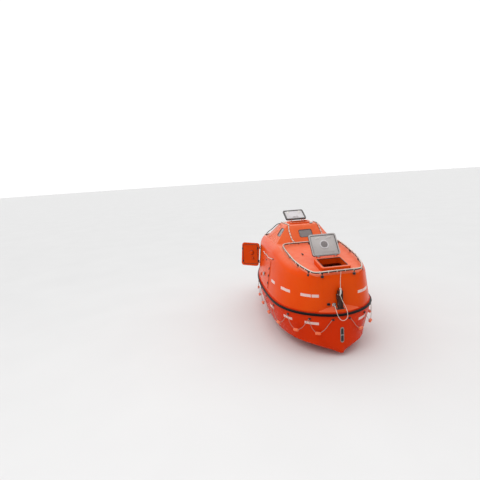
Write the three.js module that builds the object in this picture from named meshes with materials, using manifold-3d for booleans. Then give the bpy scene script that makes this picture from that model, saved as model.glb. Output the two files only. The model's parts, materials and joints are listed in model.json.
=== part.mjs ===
// Enclosed lifeboat, about six metres over its fender: a moulded hull and canopy with a wheelhouse,
// four side doors, two hatch lids, lifting hooks at both ends, and a propeller in a steering nozzle.
// Millimetres. +X points to the bow, +Y to port, +Z up. The origin is on the waterline amidships.

import * as THREE from 'three';
import { mergeVertices } from 'three/addons/utils/BufferGeometryUtils.js';
import Module from 'manifold-3d';

const wasm = await Module();
wasm.setup();

// Driving dimensions
const SEAT_GAP = 0.3; // between pieces that rest on each other
const WIDEST_X = 880; // where every plan curve is at its full breadth
const GUNWALE_Z = 620;
const FENDER = { z: 562, height: 56 };
const KEEL_HALF = 35;
const CANOPY = { foreFace: 2800, aftFace: -2700, wall: 45, endRound: 100, topRound: 90 };
const BOW_RAMP = { rise: 118, halfWidth: 480, lip: 6, inset: 14 };
const DECK = { z: 1840, foreKnee: 840, aftKnee: -1150, foreEndZ: 1480, aftEndZ: 1500, crown: 22 };
const SEAMS = [950, -500]; // where the canopy's fore, middle and aft mouldings meet
const DOOR = { proud: 10, thick: 45, gap: 6, corner: 90, openDeg: 105 };
const HINGE = { radius: 11, off: 22, barrel: 60, lug: 14, strap: 95 };
const LID = { thick: 42, lift: 5, recess: 16, rim: 40, foreOpenDeg: 136, roofOpenDeg: 150 };
const SOLE_Z = -60;

// Plan curves. half is the half breadth; fore and aft hold the reach from WIDEST_X to that end and
// two exponents: the first high and the second low make a bluff end.
const PLAN = {
  fender: { half: 1302, fore: [2114, 3.3, 0.6], aft: [3872, 2.05, 0.52] },
  foot: { half: 1240, fore: [2070, 3.3, 0.6], aft: [3805, 2.05, 0.52] },
  deckEdge: { half: 865, fore: [2300, 3.2, 0.5], aft: [3800, 3.5, 0.55] },
};

// Hull levels from the gunwale down, each a plan curve at its own height
const HULL_LEVELS = [
  { z: GUNWALE_Z, half: 1264, fore: [2074, 3.3, 0.6], aft: [3834, 2.05, 0.52] },
  { z: 470, half: 1264, fore: [2074, 3.3, 0.6], aft: [3834, 2.05, 0.52] },
  { z: 220, half: 1240, fore: [2072, 3.1, 0.68], aft: [3690, 2.0, 0.58] },
  { z: 0, half: 1190, fore: [2070, 2.8, 0.66], aft: [3250, 2.0, 0.85] },
  { z: -200, half: 1100, fore: [2070, 2.5, 0.55], aft: [3190, 1.9, 0.9] },
  { z: -320, half: 850, fore: [2066, 2.2, 0.7], aft: [3170, 1.8, 1.0] },
  { z: -400, half: KEEL_HALF, fore: [2074, 9, 0.1], aft: [3834, 9, 0.1] },
];
// Underside of the keel: place and height, bow to stern; it steps up aft of the skeg
const KEEL_LINE = [
  [2950, -340], [2915, -385], [1000, -430], [-1500, -460], [-2400, -460], [-2412, 110], [-2940, 210],
];
const HULL_CAVITY = { fore: 2500, aft: -2150, wall: 110, rows: [GUNWALE_Z + 20, 220, 0, SOLE_Z] };

const DOORS = {
  // aft edge, fore edge, sill and head of each pair of side doors
  mid: { x: [-170, 880], z: [665, 1450] },
  aft: { x: [-1370, -770], z: [770, 1560] },
};

// Wheelhouse corners on the starboard side, fore to aft: x and half breadth at base and at roof
const WHEELHOUSE = { baseZ: 1840, roofZ: 2330, wall: 40, edge: 26 };
const WHEELHOUSE_CORNERS = [
  { base: [840, 420], roof: [430, 380] },
  { base: [500, 815], roof: [363, 460] },
  { base: [-850, 815], roof: [-350, 460] },
  { base: [-1150, 420], roof: [-450, 380] },
];
const FORE_HATCH = { x: 2430, half: [290, 352], opening: [240, 302], coaming: 130, corner: 60 };
const ROOF_HATCH = { x: 68, half: [232, 315], opening: [176, 258], coaming: 45, corner: 50 };
// Deck rails as half paths of [x, y] on the port side, each ending on the centreline
const RAIL = {
  radius: 14, height: 60, foot: 9, roofOff: 55, roofRadius: 12, across: 11,
  fore: {
    path: [
      [905, 560], [930, 700], [1040, 780], [1300, 805], [1700, 805], [2080, 785], [2400, 725], [2640, 645],
      [2756, 580], [2796, 490], [2800, 240], [2800, 0],
    ],
    feet: [[1040, 780], [1700, 805], [2240, 760], [2640, 645], [2799, 380], [905, 300]],
  },
  aft: {
    path: [
      [-1640, 400], [-1680, 500], [-1780, 560], [-2050, 580], [-2300, 530], [-2480, 430], [-2560, 300],
      [-2575, 150], [-2575, 0],
    ],
    feet: [[-1780, 560], [-2300, 530], [-2574, 220], [-1640, 250]],
  },
};

const PROPELLER = { x: -2550, z: -160, radius: 160, hub: 34, hubLength: 95, shaft: 16, blades: 4 };
const NOZZLE = {
  inner: 190, outer: 215, lip: 12, length: 180, stock: 24,
  fin: { thick: 14, aft: 190, fore: 78, half: 200 },
};
const STERN_BOSS = { low: 85, high: 260, radius: 46 }; // round the nozzle's stock
const STERN_TUBE = { fore: -2330, aft: -2490, radius: [40, 30] }; // round the propeller's shaft
const SKEG_END = -2412;

const INSIDE = {
  soleThick: 20,
  bench: { x: [-1600, 1900], inner: 640, top: 330 },
  engine: { x: [-1780, -1000], half: 280, top: 520 },
  seat: {
    x: -480, z: 1080, pedestal: 110, half: 210, cushion: [-10, 80],
    back: [-230, -160], backHalf: 200, backTop: 430,
  },
  console: { x: [330, 520], half: 230, z: 1500 },
  wheel: { off: 70, drop: 90, radius: 150, rim: 11, spoke: 7, hub: 20 },
};
const HOOK = {
  bow: [2868, 680], stern: [-2812, GUNWALE_Z], half: 46, height: 430, cheek: 17, gap: 72, claw: 44,
  base: [62, 92, 16], seat: 0.72, plinth: [72, 98],
};
const STEM_PLATE = { z: 80, half: [42, 185], corner: 40, x: [2900, 2958] };
const FAIRLEAD = { y: -250, z: 786, half: [40, 29], hole: [26, 16], x: [2790, 2820] };
const RELEASE = { y: -118, z: 748, half: [42, 52], x: [2780, 2812], drum: [17, 2862], bar: [13, 2850, 35] };
const LAMP = { x: 353, y: 262, sink: 12 };
const VENT_BLOCK = { x: [922, 992], half: 38, z: [1780, 1885] };
const CLEAT = { x: 1600, y: 430, radius: 18, height: 45, horn: { radius: 11, half: 60, z: [36, 26] } };
const LIFELINE = {
  z: 450, sag: 330, radius: 8, off: 22, float: { length: 130, radius: 36 },
  places: [2925, 2700, 2250, 1560, 780, 0, -760, -1480, -2140, -2720],
};
const PAINTER = {
  radius: 6,
  route: [
    [2819.3, 54, 1540], [2830, 36, 1400], [2852, 20, 1300], [2900, 0, 1210], [2935, -20, 1140],
    [2945, -30, 1080], [2950, -20, 1000], [2958, 0, 930], [2967, 30, 860], [2990, 75, 750],
    [3015, 100, 660], [3026, 105, 600], [3032, 98, 520], [3034, 50, 470], [3034, -10, 455],
    [3032, -70, 490], [3026, -115, 560], [3012, -140, 640], [2988, -150, 705], [2945, -142, 740],
    [2890, -120, 746], [2863.6, -118, 745],
  ],
};

const paint = (color, roughness, metalness = 0) => (
  new THREE.MeshStandardMaterial({ color, roughness, metalness })
);
const MATERIAL = {
  canopy: paint(0xf0582c, 0.42),
  hull: paint(0xe8481f, 0.45),
  rubber: paint(0x16171a, 0.75),
  glass: paint(0x55606a, 0.12),
  liner: paint(0xc9cbc8, 0.6),
  steel: paint(0xb9bcc0, 0.3, 1),
  dark: paint(0x24262a, 0.55),
  rope: paint(0xe4e2da, 0.85),
  float: paint(0xf26a2a, 0.6),
  cushion: paint(0xb8401f, 0.7),
  engine: paint(0x5d6b66, 0.5, 0.3),
  bronze: paint(0xb08850, 0.35, 1),
  white: paint(0xf2f2ee, 0.35),
};

const boat = new THREE.Group();

// Solids and booleans

function toSolid(geometry) {
  const bare = geometry.clone();
  bare.deleteAttribute('normal');
  bare.deleteAttribute('uv');
  const merged = mergeVertices(bare, 1e-3);
  return new wasm.Manifold(new wasm.Mesh({
    numProp: 3,
    vertProperties: new Float32Array(merged.attributes.position.array),
    triVerts: new Uint32Array(merged.index.array),
  }));
}

function toGeometry(solid) {
  const { vertProperties, triVerts } = solid.getMesh();
  const geometry = new THREE.BufferGeometry();
  geometry.setAttribute('position', new THREE.BufferAttribute(vertProperties, 3));
  geometry.setIndex(new THREE.BufferAttribute(triVerts, 1));
  geometry.computeVertexNormals();
  return geometry;
}

const joinAll = (solids) => solids.reduce((all, one) => all.add(one));
const cutAll = (solid, tools) => tools.reduce((rest, tool) => rest.subtract(tool), solid);

function addPiece(name, solid, material, parent = boat) {
  const mesh = new THREE.Mesh(toGeometry(solid), material);
  mesh.name = name;
  parent.add(mesh);
}

// A piece that turns on a hinge: its mesh hangs in a group at the hinge, turned by openDeg
function addHinged(name, solid, material, hinge, openDeg) {
  const group = new THREE.Group();
  group.position.copy(hinge.point);
  group.setRotationFromAxisAngle(hinge.axis, THREE.MathUtils.degToRad(openDeg));
  const geometry = toGeometry(solid);
  geometry.translate(-hinge.point.x, -hinge.point.y, -hinge.point.z);
  const mesh = new THREE.Mesh(geometry, material);
  mesh.name = name;
  group.add(mesh);
  boat.add(group);
}

// Skin over a row of rings with equal point counts, closed by a fan at both ends
function loft(rings) {
  const count = rings[0].length;
  const points = rings.flat();
  const index = [];
  for (let r = 0; r + 1 < rings.length; r += 1) {
    for (let k = 0; k < count; k += 1) {
      const a = r * count + k;
      const b = r * count + ((k + 1) % count);
      index.push(a, b, b + count, a, b + count, a + count);
    }
  }
  const fan = (first, ring, turned) => {
    const middle = points.length;
    points.push(ring.reduce((sum, p) => sum.add(p), new THREE.Vector3()).divideScalar(count));
    for (let k = 0; k < count; k += 1) {
      const pair = [first + k, first + ((k + 1) % count)];
      index.push(middle, ...(turned ? pair.reverse() : pair));
    }
  };
  fan(0, rings[0], true);
  fan((rings.length - 1) * count, rings[rings.length - 1], false);
  const geometry = new THREE.BufferGeometry().setFromPoints(points);
  geometry.setIndex(signedVolume(points, index) < 0 ? flipped(index) : index);
  return toSolid(geometry);
}

function signedVolume(points, index) {
  let sum = 0;
  for (let i = 0; i < index.length; i += 3) {
    const [a, b, c] = [points[index[i]], points[index[i + 1]], points[index[i + 2]]];
    sum += a.dot(new THREE.Vector3().crossVectors(b, c));
  }
  return sum;
}

function flipped(index) {
  const turned = [];
  for (let i = 0; i < index.length; i += 3) turned.push(index[i], index[i + 2], index[i + 1]);
  return turned;
}

// A local frame: origin, forward direction u and outward direction w; its own axis is u × w
function makeFrame(origin, u, w) {
  const axis = new THREE.Vector3().crossVectors(u, w).normalize();
  const v = new THREE.Vector3().crossVectors(w, u).normalize();
  return { origin, u, v, w, axis, matrix: new THREE.Matrix4().makeBasis(u, v, w).setPosition(origin) };
}

function frameBox(frame, [u0, u1], [v0, v1], [w0, w1]) {
  const geometry = new THREE.BoxGeometry(u1 - u0, v1 - v0, w1 - w0);
  geometry.translate((u0 + u1) / 2, (v0 + v1) / 2, (w0 + w1) / 2);
  return toSolid(geometry.applyMatrix4(frame.matrix));
}

const WORLD = makeFrame(new THREE.Vector3(), new THREE.Vector3(1, 0, 0), new THREE.Vector3(0, 0, 1));
const box = (x, y, z) => frameBox(WORLD, x, y, z);

function roundedRect(halfU, halfV, corner) {
  const shape = new THREE.Shape();
  const quarter = Math.PI / 2;
  [[1, 1], [-1, 1], [-1, -1], [1, -1]].forEach(([su, sv], i) => {
    const centre = [su * (halfU - corner), sv * (halfV - corner)];
    shape.absarc(...centre, corner, i * quarter, (i + 1) * quarter);
  });
  return shape;
}

// Prism of a shape in a frame's u and v directions, from w0 to w1 along its outward direction
function prism(frame, shape, [w0, w1], curveSegments = 3) {
  const geometry = new THREE.ExtrudeGeometry(shape, { depth: w1 - w0, bevelEnabled: false, curveSegments });
  geometry.translate(0, 0, w0);
  return toSolid(geometry.applyMatrix4(frame.matrix));
}

function rod(from, to, radius, sides = 10, endRadius = radius) {
  const along = new THREE.Vector3().subVectors(to, from);
  const geometry = new THREE.CylinderGeometry(endRadius, radius, along.length(), sides);
  geometry.translate(0, along.length() / 2, 0);
  const turn = new THREE.Quaternion().setFromUnitVectors(new THREE.Vector3(0, 1, 0), along.normalize());
  geometry.applyQuaternion(turn).translate(from.x, from.y, from.z);
  return toSolid(geometry);
}

function tube(points, radius, steps, sides = 8) {
  const section = new THREE.Shape();
  for (let i = 0; i < sides; i += 1) {
    const turn = (i / sides) * 2 * Math.PI;
    const spot = [radius * Math.cos(turn), radius * Math.sin(turn)];
    if (i === 0) section.moveTo(...spot);
    else section.lineTo(...spot);
  }
  const extrudePath = new THREE.CatmullRomCurve3(points, false, 'centripetal');
  return toSolid(new THREE.ExtrudeGeometry(section, { steps, extrudePath, curveSegments: 1 }));
}

const vec = (x, y, z) => new THREE.Vector3(x, y, z);
const mix = (a, b, t) => a + (b - a) * t;

// Height along a line of [place, height] pairs that runs from the bow aft
function lineHeight(line, x) {
  for (let i = 0; i + 1 < line.length; i += 1) {
    const [[x0, z0], [x1, z1]] = [line[i], line[i + 1]];
    if (x >= x1) return mix(z0, z1, THREE.MathUtils.clamp((x0 - x) / (x0 - x1), 0, 1));
  }
  return line[line.length - 1][1];
}

function breadth(plan, x, grow = 0) {
  const [reach, n, q] = x > WIDEST_X ? plan.fore : plan.aft;
  const share = Math.abs(x - WIDEST_X) / (reach + grow);
  return share < 1 ? (plan.half + grow) * (1 - share ** n) ** q : 0;
}

// Places of the sections, closer together towards both ends
function stations(aft, fore, count) {
  const places = [];
  for (let i = 0; i <= count; i += 1) {
    places.push((fore + aft) / 2 - ((fore - aft) / 2) * Math.cos((Math.PI * i) / count));
  }
  return places;
}

const otherSide = (p) => vec(p.x, -p.y, p.z);
const mirrored = (half) => [...half, ...half.filter((p) => p.y !== 0).reverse().map(otherSide)];

// Hull

function hullRing(x, grow) {
  const bottom = lineHeight(KEEL_LINE, x) - grow;
  const half = [vec(x, 0, bottom), vec(x, KEEL_HALF + grow, bottom)];
  const levels = [...HULL_LEVELS].reverse();
  levels.forEach((level, i) => {
    const y = Math.max(breadth(level, x, grow), KEEL_HALF + grow + i * 0.5);
    half.push(vec(x, y, Math.max(level.z, bottom + 8 * (i + 1))));
  });
  half[half.length - 1].z = GUNWALE_Z + grow;
  half.push(vec(x, 0, GUNWALE_Z + grow));
  return mirrored(half);
}

function hullSolid(grow = 0) {
  const places = [...stations(-2950, 2950, 22), -2400, SKEG_END].sort((a, b) => a - b);
  return loft(places.map((x) => hullRing(x + Math.sign(x) * grow, grow)));
}

function hullCavity(shrink = 0) {
  const { fore, aft, wall, rows } = HULL_CAVITY;
  return loft(stations(aft + shrink, fore - shrink, 16).map((x) => {
    const half = rows.map((z) => {
      const level = HULL_LEVELS.find((one) => one.z <= Math.max(z, 0));
      return vec(x, breadth(level, x, -wall - shrink), z === SOLE_Z ? z + shrink : z);
    });
    half[3].y = half[2].y * 0.78;
    return [...half, ...[...half].reverse().map(otherSide)];
  }));
}

// Canopy: a steep side from the foot, a round shoulder, and a cambered deck that falls to both ends

function deckHeight(x) {
  if (x > DECK.foreKnee) {
    return mix(DECK.z, DECK.foreEndZ, (x - DECK.foreKnee) / (CANOPY.foreFace - DECK.foreKnee));
  }
  if (x < DECK.aftKnee) {
    return mix(DECK.z, DECK.aftEndZ, (x - DECK.aftKnee) / (CANOPY.aftFace - DECK.aftKnee));
  }
  return DECK.z;
}

// Section shape as shares of the way in from foot to deck edge, and up
const SIDE_TOP = [0.42, 0.78];
const SHOULDER_PULL = [0.5, 0.9];
const OUTSIDE = { sections: 26, shoulder: 5 };
const LINING = { sections: 12, shoulder: 2 };

function canopyRing(x, grow, footZ, shoulderSteps) {
  const fromEnd = Math.max(Math.min(CANOPY.foreFace + grow - x, x - CANOPY.aftFace + grow), 0);
  const fall = (radius) => radius - Math.sqrt(radius ** 2 - Math.max(radius - fromEnd, 0) ** 2);
  const pinch = fall(CANOPY.endRound);
  const foot = breadth(PLAN.foot, x, grow) - pinch;
  const edge = Math.min(breadth(PLAN.deckEdge, x, grow), foot + pinch) - pinch * 1.2;
  const top = deckHeight(x) + grow - fall(CANOPY.topRound);
  const at = ([inward, upward]) => vec(x, mix(foot, edge, inward), mix(GUNWALE_Z, top, upward));
  const half = [vec(x, foot, footZ)];
  for (let i = 0; i <= shoulderSteps; i += 1) {
    const t = i / shoulderSteps;
    const blend = (k) => (1 - t) ** 2 * SIDE_TOP[k] + 2 * t * (1 - t) * SHOULDER_PULL[k] + t * t;
    half.push(at([blend(0), blend(1)]));
  }
  const crown = (DECK.crown * edge) / PLAN.deckEdge.half;
  half.push(vec(x, edge / 2, top + crown * 0.75), vec(x, 0, top + crown));
  return mirrored(half);
}

function canopySolid(grow = 0, footZ = GUNWALE_Z + SEAT_GAP, { sections, shoulder } = OUTSIDE) {
  const ends = [CANOPY.aftFace - grow, CANOPY.foreFace + grow];
  const places = [...stations(...ends, sections), DECK.foreKnee, DECK.aftKnee].sort((a, b) => a - b);
  return loft(places.map((x) => canopyRing(x, grow, footZ, shoulder)));
}

// Ramp on the crescent deck before the fore face, highest on the centreline
function bowRamp(grow = 0) {
  const { rise, halfWidth, lip, inset } = BOW_RAMP;
  const [reach, n, q] = HULL_LEVELS[0].fore;
  const low = GUNWALE_Z + SEAT_GAP;
  const root = CANOPY.foreFace - 60;
  return loft(stations(-halfWidth - grow, halfWidth + grow, 14).map((y) => {
    const share = (1 - (Math.abs(y) / HULL_LEVELS[0].half) ** (1 / q)) ** (1 / n);
    const edge = WIDEST_X + reach * share - inset + grow;
    const climb = rise * (1 - (y / (halfWidth + grow)) ** 2) * ((edge - root) / (edge - CANOPY.foreFace));
    return [
      vec(root, y, low),
      vec(edge, y, low),
      vec(edge, y, low + lip + grow),
      vec(root, y, low + lip + climb + grow),
    ];
  }));
}

// Point on the outside of the steep side panel
function sidePoint(x, z, side) {
  const foot = breadth(PLAN.foot, x);
  const share = ((z - GUNWALE_Z) / (deckHeight(x) - GUNWALE_Z)) * (SIDE_TOP[0] / SIDE_TOP[1]);
  return vec(x, side * mix(foot, breadth(PLAN.deckEdge, x), share), z);
}

// Side doors. side is -1 to starboard and 1 to port.

function doorFrame(door, side) {
  const centre = vec((door.x[0] + door.x[1]) / 2, 0, (door.z[0] + door.z[1]) / 2);
  return makeFrame(centre, vec(-side, 0, 0), vec(0, side, 0));
}

function doorPlug(door, side, inset) {
  const halfU = (door.x[1] - door.x[0]) / 2 - inset;
  const halfV = (door.z[1] - door.z[0]) / 2 - inset;
  return prism(doorFrame(door, side), roundedRect(halfU, halfV, DOOR.corner - inset), [600, 1500], 4);
}

function doorHinge(door, side) {
  const x = door.x[0] + 2;
  const low = sidePoint(x, door.z[0], side);
  const high = sidePoint(x, door.z[1], side);
  const up = new THREE.Vector3().subVectors(high, low).normalize();
  const along = new THREE.Vector3().subVectors(sidePoint(x + 50, door.z[0], side), low);
  const u = along.addScaledVector(up, -along.dot(up)).normalize();
  const w = new THREE.Vector3().crossVectors(u, up).multiplyScalar(-side).normalize();
  const point = low.lerp(high, 0.5).addScaledVector(w, HINGE.off);
  return { ...makeFrame(point, u, w), point, reach: (door.z[1] - door.z[0]) * 0.3 };
}

// Barrels and straps on the leaf, lugs and pads on what carries it, at two places along the hinge
function hingeParts(hinge, leafStrap, padStrap) {
  const leaf = [];
  const carrier = [];
  const half = HINGE.barrel / 2;
  const onAxis = (distance) => hinge.point.clone().addScaledVector(hinge.v, distance);
  for (const place of [-hinge.reach, hinge.reach]) {
    leaf.push(rod(onAxis(place - half), onAxis(place + half), HINGE.radius, 8));
    leaf.push(frameBox(hinge, leafStrap.u, [place - half + 6, place + half - 6], leafStrap.w));
    for (const end of [-1, 1]) {
      const inner = place + end * (half + SEAT_GAP);
      const outer = inner + end * HINGE.lug;
      carrier.push(rod(onAxis(inner), onAxis(outer), HINGE.radius, 8));
      const span = [Math.min(inner, outer), Math.max(inner, outer)];
      carrier.push(...padStrap.map((pad) => frameBox(hinge, pad.u, span, pad.w)));
    }
  }
  return { leaf, carrier };
}

const DOOR_STRAP = { u: [0, HINGE.strap], w: [-HINGE.off + 2, -4] };
const DOOR_PAD = [{ u: [-70, -5], w: [-HINGE.off - 12, -6] }];

// Wheelhouse: eight flat sides leaning in to a flat roof

function wheelhouseRing(share, inset, z) {
  const half = WHEELHOUSE_CORNERS.map(({ base, roof }) => {
    const x = mix(base[0], roof[0], share);
    return vec(x - Math.sign(x) * inset, mix(base[1], roof[1], share) - inset, z);
  });
  return [...half, ...[...half].reverse().map(otherSide)];
}

function wheelhouseSolid(inset = 0, low = WHEELHOUSE.baseZ - 20, high = WHEELHOUSE.roofZ) {
  const { baseZ, roofZ, edge } = WHEELHOUSE;
  const share = (z) => (z - baseZ) / (roofZ - baseZ);
  return loft([
    wheelhouseRing(share(low), inset, low),
    wheelhouseRing(share(high - edge), inset, high - edge),
    wheelhouseRing(share(high - edge / 3), inset + edge / 3, high - edge / 3),
    wheelhouseRing(share(high), inset + edge, high),
  ]);
}

// Frame on a slanted wall: middle of the window, u level along the wall, w outward
function wallFrame(base, roof, level, height) {
  const up = new THREE.Vector3().subVectors(roof, base).normalize();
  const w = new THREE.Vector3().crossVectors(level, up).normalize();
  const middle = base.clone().lerp(roof, height);
  return makeFrame(middle, level, w);
}

const WINDOWS = {
  front: {
    frame: wallFrame(vec(840, 0, 1840), vec(430, 0, 2330), vec(0, 1, 0), 0.53),
    half: [190, 125],
  },
  aft: {
    frame: wallFrame(vec(-1150, 0, 1840), vec(-450, 0, 2330), vec(0, -1, 0), 0.5),
    half: [240, 150],
  },
  starboard: {
    frame: wallFrame(vec(225, -815, 1840), vec(225, -460, 2330), vec(1, 0, 0), 0.57),
    half: [150, 130],
  },
  port: {
    frame: wallFrame(vec(225, 815, 1840), vec(225, 460, 2330), vec(-1, 0, 0), 0.57),
    half: [150, 130],
  },
};

// Hatches: a coaming on the deck or roof, and a lid hinged along its aft edge

function hatchFrame(x, z, fall) {
  const u = vec(1, 0, -fall).normalize();
  return makeFrame(vec(x, 0, z), u, new THREE.Vector3().crossVectors(u, vec(0, 1, 0)));
}

function coaming(frame, hatch) {
  return prism(frame, roundedRect(...hatch.half, hatch.corner), [-60, hatch.coaming]);
}

const hatchHole = (frame, { opening, corner }) => (
  prism(frame, roundedRect(...opening, corner - 20), [-200, 200])
);

function hatchHinge(frame, hatch) {
  const height = hatch.coaming + LID.lift + LID.thick / 2;
  const point = vec(-hatch.half[0] - 14, 0, height).applyMatrix4(frame.matrix);
  return { ...makeFrame(point, frame.u, frame.w), point, reach: hatch.half[1] * 0.62 };
}

function lidSolid(frame, hatch) {
  const low = hatch.coaming + LID.lift;
  const slab = prism(frame, roundedRect(...hatch.half, hatch.corner), [low, low + LID.thick]);
  const inner = [hatch.half[0] - LID.rim, hatch.half[1] - LID.rim];
  return slab.subtract(prism(frame, roundedRect(...inner, hatch.corner - 20), [low - 10, low + LID.recess]));
}

const LID_STRAP = { u: [0, 40], w: [-9, 9] };
const LID_PAD = [{ u: [-11, 11], w: [-68, 0] }, { u: [-11, 24], w: [-68, -LID.thick / 2 - 9] }];

// Assemble: hull, fender and canopy

const hullGrown = hullSolid(SEAT_GAP);
const sternBoss = rod(
  vec(PROPELLER.x, 0, STERN_BOSS.low),
  vec(PROPELLER.x, 0, STERN_BOSS.high),
  STERN_BOSS.radius,
  16,
);
const sternTube = rod(
  vec(STERN_TUBE.fore, 0, PROPELLER.z),
  vec(STERN_TUBE.aft, 0, PROPELLER.z),
  STERN_TUBE.radius[0],
  16,
  STERN_TUBE.radius[1],
);
addPiece('hull', joinAll([hullSolid(), sternBoss, sternTube]).subtract(hullCavity()), MATERIAL.hull);

function planLoop(plan, inset, z) {
  const half = [];
  for (const x of stations(WIDEST_X - plan.aft[0] + inset, WIDEST_X + plan.fore[0] - inset, 32)) {
    half.push(vec(x, breadth(plan, x, -inset), z));
  }
  half[0].y = 0;
  half[half.length - 1].y = 0;
  return mirrored(half);
}

const FENDER_SECTION = [[-0.5, 18], [-0.34, 5], [0, 0], [0.34, 5], [0.5, 18]]; // share of height, inset
const fenderBlock = loft(FENDER_SECTION.map(([share, inset]) => (
  planLoop(PLAN.fender, inset, FENDER.z + share * FENDER.height)
)));
addPiece('fender', fenderBlock.subtract(hullGrown), MATERIAL.rubber);

const canopyOuter = canopySolid();
const canopyGrown = canopySolid(SEAT_GAP).add(bowRamp(SEAT_GAP));
const canopyInner = canopySolid(-CANOPY.wall, GUNWALE_Z - 20, LINING);
const doorInner = canopySolid(DOOR.proud - DOOR.thick, GUNWALE_Z - 20, LINING);
const doorSkin = canopySolid(DOOR.proud).subtract(doorInner);

const hinges = {};
const canopyExtras = [];
const openings = [];
for (const [place, door] of Object.entries(DOORS)) {
  for (const [sideName, side] of [['starboard', -1], ['port', 1]]) {
    const hinge = doorHinge(door, side);
    const parts = hingeParts(hinge, DOOR_STRAP, DOOR_PAD);
    hinges[`door_${place}_${sideName}`] = {
      hinge,
      leaf: joinAll([doorSkin.intersect(doorPlug(door, side, DOOR.gap)), ...parts.leaf]),
    };
    openings.push(doorPlug(door, side, 0));
    canopyExtras.push(...parts.carrier);
  }
}

const foreFall = (DECK.z - DECK.foreEndZ) / (CANOPY.foreFace - DECK.foreKnee);
const foreHatchFrame = hatchFrame(FORE_HATCH.x, deckHeight(FORE_HATCH.x), foreFall);
const foreHinge = hatchHinge(foreHatchFrame, FORE_HATCH);
const foreHingeParts = hingeParts(foreHinge, LID_STRAP, LID_PAD);
const roofHatchFrame = hatchFrame(ROOF_HATCH.x, WHEELHOUSE.roofZ, 0);
const roofHinge = hatchHinge(roofHatchFrame, ROOF_HATCH);
const roofHingeParts = hingeParts(roofHinge, LID_STRAP, LID_PAD);

const wheelhouseWell = wheelhouseSolid(WHEELHOUSE.wall + 60, 1700, 2300);
const hookPlinth = box(
  [HOOK.bow[0] - HOOK.plinth[0], HOOK.bow[0] + HOOK.plinth[0]],
  [-HOOK.plinth[1], HOOK.plinth[1]],
  [GUNWALE_Z + SEAT_GAP, HOOK.bow[1]],
);
const canopyWhole = joinAll([canopyOuter, bowRamp(), hookPlinth, coaming(foreHatchFrame, FORE_HATCH)]);
const canopyShell = joinAll([
  cutAll(canopyWhole, [canopyInner, wheelhouseWell, hatchHole(foreHatchFrame, FORE_HATCH), ...openings]),
  ...canopyExtras,
  ...foreHingeParts.carrier,
]);
const FAR = 4000;
[
  ['canopy_fore', [SEAMS[0] + SEAT_GAP / 2, FAR]],
  ['canopy_mid', [SEAMS[1] + SEAT_GAP / 2, SEAMS[0] - SEAT_GAP / 2]],
  ['canopy_aft', [-FAR, SEAMS[1] - SEAT_GAP / 2]],
].forEach(([name, span]) => {
  addPiece(name, canopyShell.intersect(box(span, [-FAR, FAR], [-FAR, FAR])), MATERIAL.canopy);
});

// Wheelhouse with its windows and roof hatch
const windowCuts = Object.values(WINDOWS).map(({ frame, half }) => (
  prism(frame, roundedRect(...half, 45), [-90, 60], 2)
));
const wheelhouseShell = cutAll(
  joinAll([wheelhouseSolid(), coaming(roofHatchFrame, ROOF_HATCH)]),
  [
    canopyGrown,
    wheelhouseSolid(WHEELHOUSE.wall, WHEELHOUSE.baseZ - 60, WHEELHOUSE.roofZ - WHEELHOUSE.wall),
    hatchHole(roofHatchFrame, ROOF_HATCH),
    ...windowCuts,
  ],
);
addPiece('wheelhouse', joinAll([wheelhouseShell, ...roofHingeParts.carrier]), MATERIAL.canopy);
for (const [name, { frame, half }] of Object.entries(WINDOWS)) {
  const pane = roundedRect(half[0] - SEAT_GAP, half[1] - SEAT_GAP, 45 - SEAT_GAP);
  addPiece(`window_${name}`, prism(frame, pane, [-16, -8], 2), MATERIAL.glass);
}

// Doors and lids at rest: the starboard aft door and both lids stand open
for (const [name, { hinge, leaf }] of Object.entries(hinges)) {
  addHinged(name, leaf, MATERIAL.canopy, hinge, name === 'door_aft_starboard' ? DOOR.openDeg : 0);
}
const foreLid = joinAll([lidSolid(foreHatchFrame, FORE_HATCH), ...foreHingeParts.leaf]);
addHinged('fore_hatch_lid', foreLid, MATERIAL.canopy, foreHinge, LID.foreOpenDeg);
const roofLid = joinAll([lidSolid(roofHatchFrame, ROOF_HATCH), ...roofHingeParts.leaf]);
addHinged('roof_hatch_lid', roofLid, MATERIAL.canopy, roofHinge, LID.roofOpenDeg);

// Inside: sole, side benches, engine, helm seat and console
const cavity = hullCavity(SEAT_GAP);
const soleTop = SOLE_Z + INSIDE.soleThick;
addPiece('cabin_sole', cavity.intersect(box([-FAR, FAR], [-FAR, FAR], [-FAR, soleTop])), MATERIAL.liner);
for (const [name, side] of [['starboard', -1], ['port', 1]]) {
  const across = [side * INSIDE.bench.inner, side * FAR].sort((a, b) => a - b);
  const bench = cavity.intersect(box(INSIDE.bench.x, across, [soleTop + SEAT_GAP, INSIDE.bench.top]));
  addPiece(`bench_${name}`, bench, MATERIAL.cushion);
}
const onSole = soleTop + SEAT_GAP;
const { engine, seat, console: desk, wheel } = INSIDE;
addPiece('engine_block', box(engine.x, [-engine.half, engine.half], [onSole, engine.top]), MATERIAL.engine);
addPiece('helm_seat', joinAll([
  box([seat.x - seat.pedestal, seat.x + seat.pedestal], [-seat.pedestal, seat.pedestal], [onSole, seat.z]),
  box([seat.x - seat.half, seat.x + seat.half], [-seat.half, seat.half], seat.cushion.map((z) => seat.z + z)),
  box(seat.back.map((x) => seat.x + x), [-seat.backHalf, seat.backHalf], [seat.z, seat.z + seat.backTop]),
]), MATERIAL.cushion);
const wheelCentre = vec(desk.x[0] - wheel.off, 0, desk.z - wheel.drop);
const wheelRim = new THREE.TorusGeometry(wheel.radius, wheel.rim, 5, 16).rotateY(Math.PI / 2);
wheelRim.translate(wheelCentre.x, wheelCentre.y, wheelCentre.z);
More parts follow.
